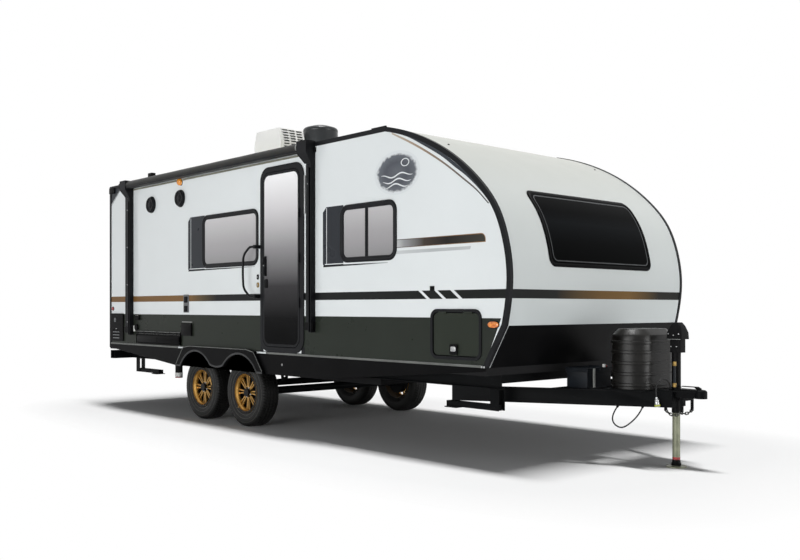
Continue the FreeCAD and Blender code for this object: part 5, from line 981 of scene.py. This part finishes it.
# %% Lay the round picture
disc_x, disc_z, disc_half_x, disc_half_z = 2.729, 2.296, 0.276, 0.180
picture, tree, shader = start_finish("round_picture_film")
coordinates = tree.nodes.new("ShaderNodeTexCoord")
mapping = tree.nodes.new("ShaderNodeMapping")
fill(tree, mapping, {"Scale": (1 / disc_half_x, 0.0, 1 / disc_half_z), "Vector": coordinates.outputs["Object"],
                     "Location": (-along(disc_x) / disc_half_x, 0.0, -disc_z / disc_half_z)})
reach = tree.nodes.new("ShaderNodeVectorMath")
reach.operation = "LENGTH"
fill(tree, reach, {0: mapping.outputs["Vector"]})
speckle = tree.nodes.new("ShaderNodeMath")
speckle.operation = "MULTIPLY_ADD"
fill(tree, speckle, {0: noise_on(tree, 34.0, 8.0), 1: 0.22, 2: reach.outputs["Value"]})
fill(tree, shader, {
    "Base Color": ramp_between(tree, speckle.outputs["Value"], [
        (0.15, (92, 96, 103)), (0.60, (74, 78, 86)), (0.90, (96, 100, 107)), (1.0, (216, 221, 223))]),
    "Roughness": 0.35, "Specular IOR Level": 0.3})


def ellipse(centre_x, centre_z, half_x, half_z, turn):
    """Points of an ellipse on the wall at the given angles."""
    return np.stack([centre_x + half_x * np.cos(turn), centre_z + half_z * np.sin(turn)], axis=1)


ring_turn = np.linspace(0, 2 * np.pi, 40)
ring_lines = [ellipse(disc_x + 0.10, disc_z + 0.075, *halves, ring_turn) for halves in ((0.050, 0.033), (0.040, 0.026))]
for side, side_name in sides:
    side_plate(side_name + "_round_picture", ellipse(disc_x, disc_z, disc_half_x, disc_half_z, np.linspace(
        0, 2 * np.pi, 64, endpoint=False)), side, picture, 0.0004)
    side_strip(side_name + "_picture_ring", *ring_lines, side, white_film, 0.0004, 0.0004)
    for number, (low, reach_x) in enumerate(((-0.02, 0.19), (-0.065, 0.17), (-0.105, 0.13))):
        x = np.linspace(-reach_x, reach_x, 40)
        wave = low + 0.016 * np.sin(x * 26 + number) * np.cos(x * 5)
        thick = 0.006 * np.sqrt(np.maximum(0.02, 1 - (x / reach_x) ** 2))
        edges = [np.stack([disc_x + x, disc_z + wave + lift], 1) for lift in (thick, -thick)]
        side_strip("%s_picture_wave_%d" % (side_name, number), *edges, side, white_film, 0.0004, 0.0004)
print("round picture", round(2 * disc_half_x, 2), "wide")

# %% [markdown]
# ## Roof and awning
# The awning is a long rolled cloth on a tube, held by two arms. A strip of cloth hangs from the roof
# rail to the roll, and a hem bar closes it. The roof unit's louvres are rows of short dark plates on its
# sloping face: painted shade standing for the dark inside each slot.

# %% Dress the roof
vent_white = make_finish("white_roof_plastic", (244, 245, 243), (252, 252, 250), (0.4, 0.5), 6.0, 400.0, 0.0001)
dome_black = make_finish("roof_dome_plastic", (22, 25, 28), (34, 38, 41), (0.28, 0.4), 5.0, 300.0, 0.0001, 0.4)
dress("roof_vents", vent_white)
dress("roof_dome", dome_black)
slope_height, slope_depth, slot_face_x = 0.130, 0.040, 0.735
slope_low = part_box("roof_vents")[1].z - slope_height
# Dark plates on the slope: painted shade where the louvre slots open.
for row in range(9):
    z = 2.748 + 0.028 * row
    low_x, high_x = [slot_face_x - slope_depth * max(0.0, height - slope_low) / slope_height
                     for height in (z, z + 0.013)]
    for column in range(3):
        y = -0.855 + 0.085 * column
        loop = ((low_x, y, z), (low_x, y + 0.062, z + 0.004), (high_x, y + 0.056, z + 0.015),
                (high_x, y - 0.006, z + 0.011))
        layers = [np.array([(along(x + lift), b, c) for x, b, c in loop]) for lift in (0.0012, -0.003)]
        place_piece("roof_unit_slot_%d_%d" % (row, column), plate_mesh("roof_unit_slot_shade", *layers), "black_plastic")
dome_middle, dome_foot = middle_of("roof_dome"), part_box("roof_dome")[0].z
for number, (low, reach) in enumerate(((0.022, 0.196), (0.100, 0.1925))):
    turned_piece("roof_dome_seam_%d" % number, (dome_middle.x, dome_middle.y, dome_foot + low), (0, 0, 1), [
        (0.0, reach - 0.02), (0.0, reach), (0.002, reach + 0.0025), (0.006, reach + 0.0025), (0.008, reach),
        (0.008, reach - 0.02)], "black_plastic", dome_black, steps=72)
boxed_piece("roof_edge_bracket", (-1.475, -1.205, 2.640), (-1.385, -1.150, 2.742), "black_plastic", bevel=0.006)
boxed_piece("roof_rail_end", (2.42, -1.166, 2.660), (2.60, -1.150, 2.700), "black_trim")
for number, y in enumerate((-0.98, 0.98)):
    turned_piece("cap_screw_%d" % number, on_cap(y, 2.49, 0.0), (0.75, 0.0, 0.66), [
        (-0.001, 0.0), (0.004, 0.0), (0.0035, 0.008), (0.0, 0.011), (-0.001, 0.011)], "black_plastic", steps=20)
print("roof slots", 9 * 3)

# %% Give the speakers and the marker their depth
for number, (x, z) in enumerate(((-1.462, 2.379), (-0.793, 2.397))):
    turned_piece("speaker_housing_%d" % number, (along(x), -1.157, z), (0, -1, 0), [
        (0.0, 0.0), (0.0, 0.092), (0.004, 0.094), (0.024, 0.090), (0.034, 0.084), (0.038, 0.077), (0.035, 0.070),
        (0.027, 0.064), (0.024, 0.042), (0.033, 0.030), (0.035, 0.014), (0.034, 0.0)], "black_trim", steps=72)
turned_piece("upper_marker_bulb", (along(-0.812), -1.157, 2.580), (0, -1, 0), [
    (0.0, 0.0), (0.0, 0.040), (0.012, 0.040), (0.022, 0.036), (0.031, 0.026), (0.036, 0.012), (0.037, 0.0)],
    "lamp_lens", amber_lens, steps=48)
for number, (low_x, high_x, high_z) in enumerate(((0.762, 0.806, 0.83), (1.434, 1.478, 0.83), (0.762, 1.478, 0.7735))):
    boxed_piece("door_corner_fill_%d" % number, (low_x, -1.1600, 0.7675), (high_x, -1.1570, high_z), "black_trim",
                bevel=0.0004)
print("speakers and marker raised")

# %% Roll the awning's cloth
roller_low, roller_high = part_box("awning_roller")
roller = (roller_low + roller_high) / 2
length = roller_high.x - roller_low.x
canvas_edge = make_finish("olive_canvas_edge", (104, 103, 90), (124, 123, 110), (0.7, 0.8), 10.0, 900.0, 0.0003)
cloth_turn = np.linspace(0, 2 * np.pi, 56, endpoint=False)
stations = np.linspace(0.05, length - 0.05, 40)[:, None]
cloth_radius = 0.0455 + 0.0016 * (cloth_turn / (2 * np.pi)) + 0.0005 * np.sin(stations * 9.0)
cloth = np.stack([np.broadcast_to(roller_low.x + stations, cloth_radius.shape),
                  roller.y + cloth_radius * np.cos(cloth_turn), roller.z + cloth_radius * np.sin(cloth_turn)], axis=-1)
place_piece("awning_rolled_cloth", make_mesh("awning_rolled_cloth", cloth, grid_faces(40, 56, False, True, True)),
            "awning_vinyl", replaced="awning_roller")
side_plate("awning_canvas_strip", box_outline(-1.92, 1.50, 2.588, 2.606), -1, canvas_edge, 0.003,
           slot_name="awning_vinyl")
print("awning length", round(length, 2))

# %% Add the awning's caps, channels and bolts
for name, x, direction in (("rear", roller_low.x, 1), ("front", roller_high.x, -1)):
    turned_piece("awning_cap_" + name, (x, roller.y, roller.z), (direction, 0, 0), [
        (0.0, 0.0), (0.0, 0.030), (0.003, 0.034), (0.010, 0.0445), (0.014, 0.0468), (0.052, 0.0468),
        (0.054, 0.044), (0.054, 0.0)], "black_plastic", steps=48)
    for number in range(3):
        spin = 2 * math.pi * number / 3 + 0.4
        spot = (x + direction * 0.002, roller.y + 0.022 * math.cos(spin), roller.z + 0.022 * math.sin(spin))
        turned_piece("awning_cap_%s_screw_%d" % (name, number), spot, (-direction, 0, 0), [
            (-0.002, 0.0), (0.003, 0.0), (0.0025, 0.004), (0.0, 0.006), (-0.002, 0.006)], "zinc_plate", steps=12)
turned_piece("awning_collar", (along(1.468), roller.y, roller.z), (1, 0, 0), [
    (0.0, 0.030), (0.0, 0.0485), (0.004, 0.0495), (0.010, 0.0495), (0.014, 0.0485), (0.014, 0.030)],
    "bright_trim", steps=48)
boxed_piece("awning_hem_bar", (-1.91, roller.y - 0.044, roller.z - 0.040), (1.48, roller.y - 0.030, roller.z - 0.022),
            "black_trim", bevel=0.003)
for name, rear, front, low, high in (("rear", -2.085, -1.966, 0.905, 2.54), ("front", 1.530, 1.592, 1.000, 2.50)):
    boxed_piece("awning_channel_" + name, (rear, -1.186, low), (front, -1.158, high), "black_trim", bevel=0.003)
    boxed_piece("awning_foot_" + name, (rear - 0.004, -1.198, low - 0.01), (front + 0.05, -1.158, low + 0.065),
                "black_plastic", bevel=0.005)
    for number in range(4):
        z = low + 0.12 + (high - low - 0.3) * number / 3
        turned_piece("awning_%s_bolt_%d" % (name, number), (along((rear + front) / 2), -1.186, z), (0, -1, 0), [
            (-0.002, 0.0), (0.005, 0.0), (0.0045, 0.006), (0.001, 0.008), (-0.002, 0.008)], "zinc_plate", steps=12)
boxed_piece("awning_pale_rod", (1.515, -1.196, 2.050), (1.529, -1.184, 2.400), "zinc_plate")
print("awning fittings made")

# %% [markdown]
# ## Fender lips, tongue and jack
# The fender skirt ends in a rolled lip. Rays cast upwards find its lower edge, and an oval section
# is swept along that line, and another along its upper edge. The lips are black moulding; their grey
# is a painted highlight. On the tongue sit the battery, the gas cover and the powered jack.

# %% Roll the fender lips
fender_tree = surface_tree("fenders")
# Grey on the black arch lips: painted highlight.
lip_painted_highlight = make_finish("black_edge_painted_highlight", (40, 41, 42), (60, 61, 62), (0.35, 0.5), 12.0, 500.0, 0.0001, 0.2)


def fender_edge(face_y, side, start_z):
    """The points (x, z) where rays just inside the outer face, from start_z, first meet the skirt."""
    way = Vector((0.0, 0.0, 1.0 if start_z < 1.0 else -1.0))
    hits = [fender_tree.ray_cast(Vector((along(float(x)), face_y - side * 0.003, start_z)), way)[0]
            for x in np.linspace(-0.84, 0.84, 150)]
    return np.array([(hit.x, hit.z) for hit in hits if hit is not None])


def fender_lip(name, line, face_y, side, wide, thick, shift, paint):
    """An oval swept along a line in a side plane: middle + normal * wide cos + side * thick sin."""
    tangent = np.gradient(line, axis=0)
    tangent /= np.linalg.norm(tangent, axis=1)[:, None]
    normal = np.stack([-tangent[:, 1], tangent[:, 0]], axis=1)
    middle = line + normal * shift
    angle = np.linspace(0, 2 * np.pi, 12, endpoint=False)[None, :]
    grid = np.stack([middle[:, 0:1] + normal[:, 0:1] * wide * np.cos(angle),
                     face_y + side * 0.0005 + np.broadcast_to(thick * np.sin(angle), (len(line), 12)),
                     middle[:, 1:2] + normal[:, 1:2] * wide * np.cos(angle)], axis=-1)
    mesh = make_mesh(name, grid, grid_faces(len(line), 12, False, True, True))
    return place_piece(name, mesh, "dark_panel", paint, smooth_angle=60.0)


# Both lips are black moulding; their grey is a painted highlight.
for side, side_name in sides:
    face_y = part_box("fenders")[0 if side < 0 else 1].y
    for name, start_z, wide, thick, shift, paint in (("arch", 0.3, 0.010, 0.0045, 0.009, lip_painted_highlight),
                                                     ("top", 1.2, 0.0040, 0.0025, -0.004, grey_line_painted_highlight)):
        line = fender_edge(face_y, side, start_z)
        fender_lip("%s_%s_lip" % (side_name, name), line, face_y, side, wide, thick, shift, paint)
print("lip points", len(line))

# %% Dress the tongue
battery_shell = make_finish("battery_shell", (14, 17, 21), (24, 29, 35), (0.4, 0.5), 9.0, 500.0, 0.0002, 0.15)
cover_brown = make_finish("gas_cover_plastic", (11, 10, 9), (21, 20, 18), (0.3, 0.42), 4.0, 600.0, 0.0002, 0.22,
                          stretch=(1.0, 1.0, 3.0))
leg_steel = make_finish("dull_plated_steel", (112, 114, 96), (138, 140, 120), (0.42, 0.55), 18.0, 700.0, 0.0001, 0.3,
                        0.35)
chain_steel = make_finish("dull_chain", (48, 48, 46), (92, 92, 90), (0.4, 0.55), 60.0, 900.0, 0.0001, 0.5, 0.7)
strap = make_finish("pale_webbing", (150, 154, 150), (188, 190, 186), (0.7, 0.8), 30.0, 900.0, 0.0003)
dress("battery_box", battery_shell)
bpy.data.objects["battery_box_rounded"].data.materials[0] = battery_shell
bpy.data.objects["gas_bottle_cover_rounded"].data.materials[0] = cover_brown
dress("jack_leg", leg_steel)
dress("safety_chains", chain_steel)
for name, low, high, slot_name, material, bevel in (
        ("battery_strap_front", (4.012, -0.262, 0.575), (4.0165, -0.236, 0.722), "zinc_plate", strap, 0.001),
        ("battery_cable_clamp", (4.010, -0.135, 0.728), (4.032, -0.115, 0.752), "black_plastic", pale_plastic, 0.003),
        ("battery_cable_clamp_red", (4.010, -0.113, 0.728), (4.030, -0.095, 0.744), "lamp_lens", red_lens, 0.003),
        ("jack_bright_edge", (4.535, -0.0640, 0.9585), (4.648, -0.0600, 0.9625), "bright_trim", None, 0.0008),
        ("band_clip_0", (3.662, -1.1665, 0.744), (3.676, -1.158, 0.764), "zinc_plate", None, 0.001),
        ("band_clip_1", (3.684, -1.1665, 0.744), (3.698, -1.158, 0.764), "zinc_plate", None, 0.001)):
    boxed_piece(name, low, high, slot_name, material, bevel)
for number in range(4):
    y = -0.30 + 0.085 * number
    boxed_piece("battery_lid_rib_%d" % number, (3.815, y, 0.722), (3.995, y + 0.018, 0.7315), "black_plastic",
                battery_shell, 0.003)
print("battery ribs", 4)

# %% Add the jack's bands, tube and screws, and the waste pipe
def upright(name, x, y, z, profile, *values, **options):
    """A piece turned about an upright line that starts at (x ahead of the axle middle, y, z)."""
    return turned_piece(name, (along(x), y, z), (0, 0, 1), profile, *values, **options)


upright("jack_red_band", 4.578, 0.0, 0.056, [(0.0, 0.020), (0.0, 0.0295), (0.019, 0.0295), (0.019, 0.020)],
        "lamp_lens", red_lens, "jack_foot", 40)
upright("jack_lower_sleeve", 4.578, 0.0, 0.012, [
    (0.0, 0.015), (0.0, 0.034), (0.006, 0.036), (0.020, 0.036), (0.024, 0.031), (0.044, 0.0295), (0.044, 0.015)],
    "black_plastic", None, "jack_foot", 40)
upright("jack_side_tube", 4.600, -0.062, 0.610, [
    (0.0, 0.0), (0.0, 0.0075), (0.022, 0.0085), (0.024, 0.0105), (0.150, 0.0105), (0.152, 0.0085), (0.176, 0.0085),
    (0.176, 0.0)], "black_plastic", battery_shell, steps=28)
for name, z, high in (("low", 0.604, 0.030), ("high", 0.762, 0.032)):
    upright("jack_tube_nut_" + name, 4.600, -0.062, z, [
        (0.0, 0.0), (0.0, 0.0125), (0.003, 0.0140), (high - 0.003, 0.0140), (high, 0.0125), (high, 0.0)],
        "zinc_plate", brass, steps=6)
    boxed_piece("jack_tube_clip_" + name, (4.590, -0.060, z + 0.006), (4.610, -0.036, z + 0.020), "black_plastic",
                bevel=0.001)
for number, (x, y, z) in enumerate(((4.548, -0.0625, 1.000), (4.590, -0.0625, 0.990), (4.632, -0.0625, 1.000),
                                    (4.560, -0.045, 0.905), (4.606, -0.045, 0.905))):
    turned_piece("jack_screw_%d" % number, (along(x), y, z), (0, -1, 0), [
        (-0.004, 0.0), (0.003, 0.0), (0.0025, 0.0035), (0.0, 0.005), (-0.004, 0.005)], "zinc_plate", steps=12)
for name, low, high, slot_name, material in (("sleeve", 0.352, 0.402, "black_plastic", pale_plastic),
                                             ("band", 0.340, 0.353, "lamp_lens", red_lens)):
    upright("waste_pipe_" + name, -1.845, -0.600, low, [
        (0.0, 0.035), (0.0, 0.0450), (0.002, 0.0462), (high - low - 0.002, 0.0462), (high - low, 0.0450),
        (high - low, 0.035)], slot_name, material, steps=40)
print("tongue dressed")

# %% [markdown]
# ## The loose cable
# A short loop of cable hangs under the tongue, from one clip to the next. It is one smooth spline
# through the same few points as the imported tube, so it keeps the tube's length.

# %% Make the hanging loop
def millimetres(*points):
    """Points given in millimetres from the middle between the axles, in the frame's metres."""
    return [(along(x / 1000), y / 1000, z / 1000) for x, y, z in points]


def make_cord(name, points, diameter):
    """A smooth spline of order three through the control points, with a round bevel."""
    curve = bpy.data.curves.new(name + "_smooth", "CURVE")
    curve.dimensions = "3D"
    spline = curve.splines.new("NURBS")
    spline.points.add(len(points) - 1)
    for point, place in zip(spline.points, points):
        point.co = (*place, 1.0)
    spline.order_u = 3
    spline.use_endpoint_u = True
    spline.resolution_u = 12
    curve.bevel_depth = diameter / 2
    curve.bevel_resolution = 5
    curve.use_fill_caps = True
    curve.materials.append(finishes["cable_jacket"])
    cord = bpy.data.objects.new(name + "_smooth", curve)
    bpy.context.scene.collection.objects.link(cord)
    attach(cord, "trailer")
    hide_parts(name)
    return cord


loop_points = millimetres(
    (4225, -250, 440), (4176, -245, 378), (4180, -238, 306), (4245, -215, 272), (4318, -190, 330),
    (4371, -172, 396), (4389, -164, 440))
loop_cable = make_cord("loop_cable", loop_points, 0.011)
print("loop points", len(loop_points))

# %% Make the plug and its cable
plug_points = millimetres(
    (4568, -62, 578), (4566, -67, 628), (4552.5, -102, 664), (4534, -148, 662), (4521, -182, 625),
    (4519, -187, 575), (4521, -181, 529))
plug_cable = make_cord("plug_cable", plug_points, 0.0105)
plug_start = np.array(plug_points[-1])
plug_way = plug_start - np.array(plug_points[-2])
plug_way /= np.linalg.norm(plug_way)
green_ring = make_finish("green_plastic_ring", (150, 160, 40), (184, 190, 70), (0.4, 0.5), 30.0, 600.0, 0.0001)
plug_parts = [
    turned_piece("plug_body_turned", plug_start - 0.004 * plug_way, plug_way, [
        (0.0, 0.0), (0.0, 0.0075), (0.010, 0.0085), (0.020, 0.0125), (0.024, 0.0165), (0.030, 0.0170), (0.032, 0.0158),
        (0.036, 0.0158), (0.038, 0.0170), (0.052, 0.0170), (0.055, 0.0195), (0.070, 0.0205), (0.074, 0.0195),
        (0.074, 0.0130), (0.064, 0.0120), (0.064, 0.0)], "zinc_plate", steps=40),
    turned_piece("plug_ring", plug_start + 0.053 * plug_way, plug_way, [
        (0.0, 0.014), (0.0, 0.0207), (0.002, 0.0212), (0.010, 0.0212), (0.012, 0.0207), (0.012, 0.014)],
        "black_plastic", green_ring, steps=40)]
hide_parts("plug")
print("plug cable points", len(plug_points))

# %% [markdown]
# ## Floor and light
# The photograph stands on plain white with one soft shadow under the trailer. A matt floor keeps
# the shadow, and far out it turns into white seen only by the camera. The backdrop's white is also
# seen only by the camera, so it doesn't add light. One broad lamp overhead makes the footprint
# shadow and one on the door side makes that wall the brightest face.

# %% Make the floor
white_behind, floor_reach = (1.0, 1.0, 1.0, 1.0), 60.0
floor_mesh = bpy.data.meshes.new("studio_floor")
floor_mesh.from_pydata([(floor_reach * x, floor_reach * y, 0.0) for x, y in ((-1, -1), (1, -1), (1, 1), (-1, 1))],
                       [], [(0, 1, 2, 3)])
floor = bpy.data.objects.new("studio_floor", floor_mesh)
bpy.context.scene.collection.objects.link(floor)

floor_material, tree, shader = start_finish("studio_floor_paint")
fill(tree, shader, {"Base Color": (0.93, 0.93, 0.93, 1.0), "Roughness": 0.9, "Specular IOR Level": 0.1})
squares = tree.nodes.new("ShaderNodeVectorMath")
squares.operation = "MULTIPLY"
stretched = place_on(tree, (1 / 4.9, 1 / 2.5, 1.0))
fill(tree, squares, {0: stretched, 1: stretched})
distance = tree.nodes.new("ShaderNodeVectorMath")
distance.operation = "LENGTH"
fill(tree, distance, {0: squares.outputs["Vector"]})
fade = range_between(tree, distance.outputs["Value"], 0.6, 1.0)
path = tree.nodes.new("ShaderNodeLightPath")
camera_fade = tree.nodes.new("ShaderNodeMath")
camera_fade.operation = "MULTIPLY"
fill(tree, camera_fade, {0: fade, 1: path.outputs["Is Camera Ray"]})
paper = tree.nodes.new("ShaderNodeEmission")
fill(tree, paper, {"Color": white_behind})
mix = tree.nodes.new("ShaderNodeMixShader")
fill(tree, mix, {"Fac": camera_fade.outputs["Value"], 1: shader.outputs["BSDF"], 2: paper.outputs["Emission"]})
fill(tree, tree.nodes["Material Output"], {"Surface": mix.outputs["Shader"]})
floor_mesh.materials.append(floor_material)
print("floor reaches", floor_reach)

# %% Make the world and the lamps
def sum_of(tree, *values):
    """Adds several values in a chain of math nodes and keeps the sum at most one."""
    total = values[0]
    for value in values[1:]:
        add = tree.nodes.new("ShaderNodeMath")
        add.operation = "ADD"
        add.use_clamp = True
        fill(tree, add, {0: total, 1: value})
        total = add.outputs["Value"]
    return total


scene = bpy.context.scene
scene.world = bpy.data.worlds.new("studio_world")
scene.world.use_nodes = True
tree = scene.world.node_tree
soft = tree.nodes["Background"]
fill(tree, soft, {"Color": (0.93, 0.97, 1.0, 1.0), "Strength": 0.07})
seen = tree.nodes.new("ShaderNodeBackground")
fill(tree, seen, {"Color": white_behind})
path = tree.nodes.new("ShaderNodeLightPath")
mix = tree.nodes.new("ShaderNodeMixShader")
looked_at = sum_of(tree, *[path.outputs["Is %s Ray" % kind] for kind in ("Camera", "Glossy", "Transmission")])
fill(tree, mix, {"Fac": looked_at, 1: soft.outputs["Background"], 2: seen.outputs["Background"]})
fill(tree, tree.nodes["World Output"], {"Surface": mix.outputs["Shader"]})


def area_lamp(name, place, aim, size, power):
    """A rectangular lamp at a place, turned so that it looks at the aim."""
    lamp_data = bpy.data.lights.new(name, "AREA")
    lamp_data.shape = "RECTANGLE"
    lamp_data.size, lamp_data.size_y = size
    lamp_data.energy = power
    lamp = bpy.data.objects.new(name, lamp_data)
    lamp.location = place
    lamp.rotation_euler = (Vector(aim) - Vector(place)).to_track_quat("-Z", "Y").to_euler()
    scene.collection.objects.link(lamp)


area_lamp("overhead_softbox", (0.4, -0.1, 30.0), (0.4, -0.1, 0.0), (11.0, 2.4), 7600.0)
area_lamp("door_side_softbox", (3.0, -14.0, 1.15), (0.6, -1.1, 1.5), (10.0, 2.1), 920.0)
area_lamp("front_fill", (15.0, 4.0, 1.3), (3.0, 0.0, 1.5), (6.0, 2.3), 620.0)
scene.view_settings.view_transform = "Standard"
scene.view_settings.look = "None"
print("lamps", len(bpy.data.lights))
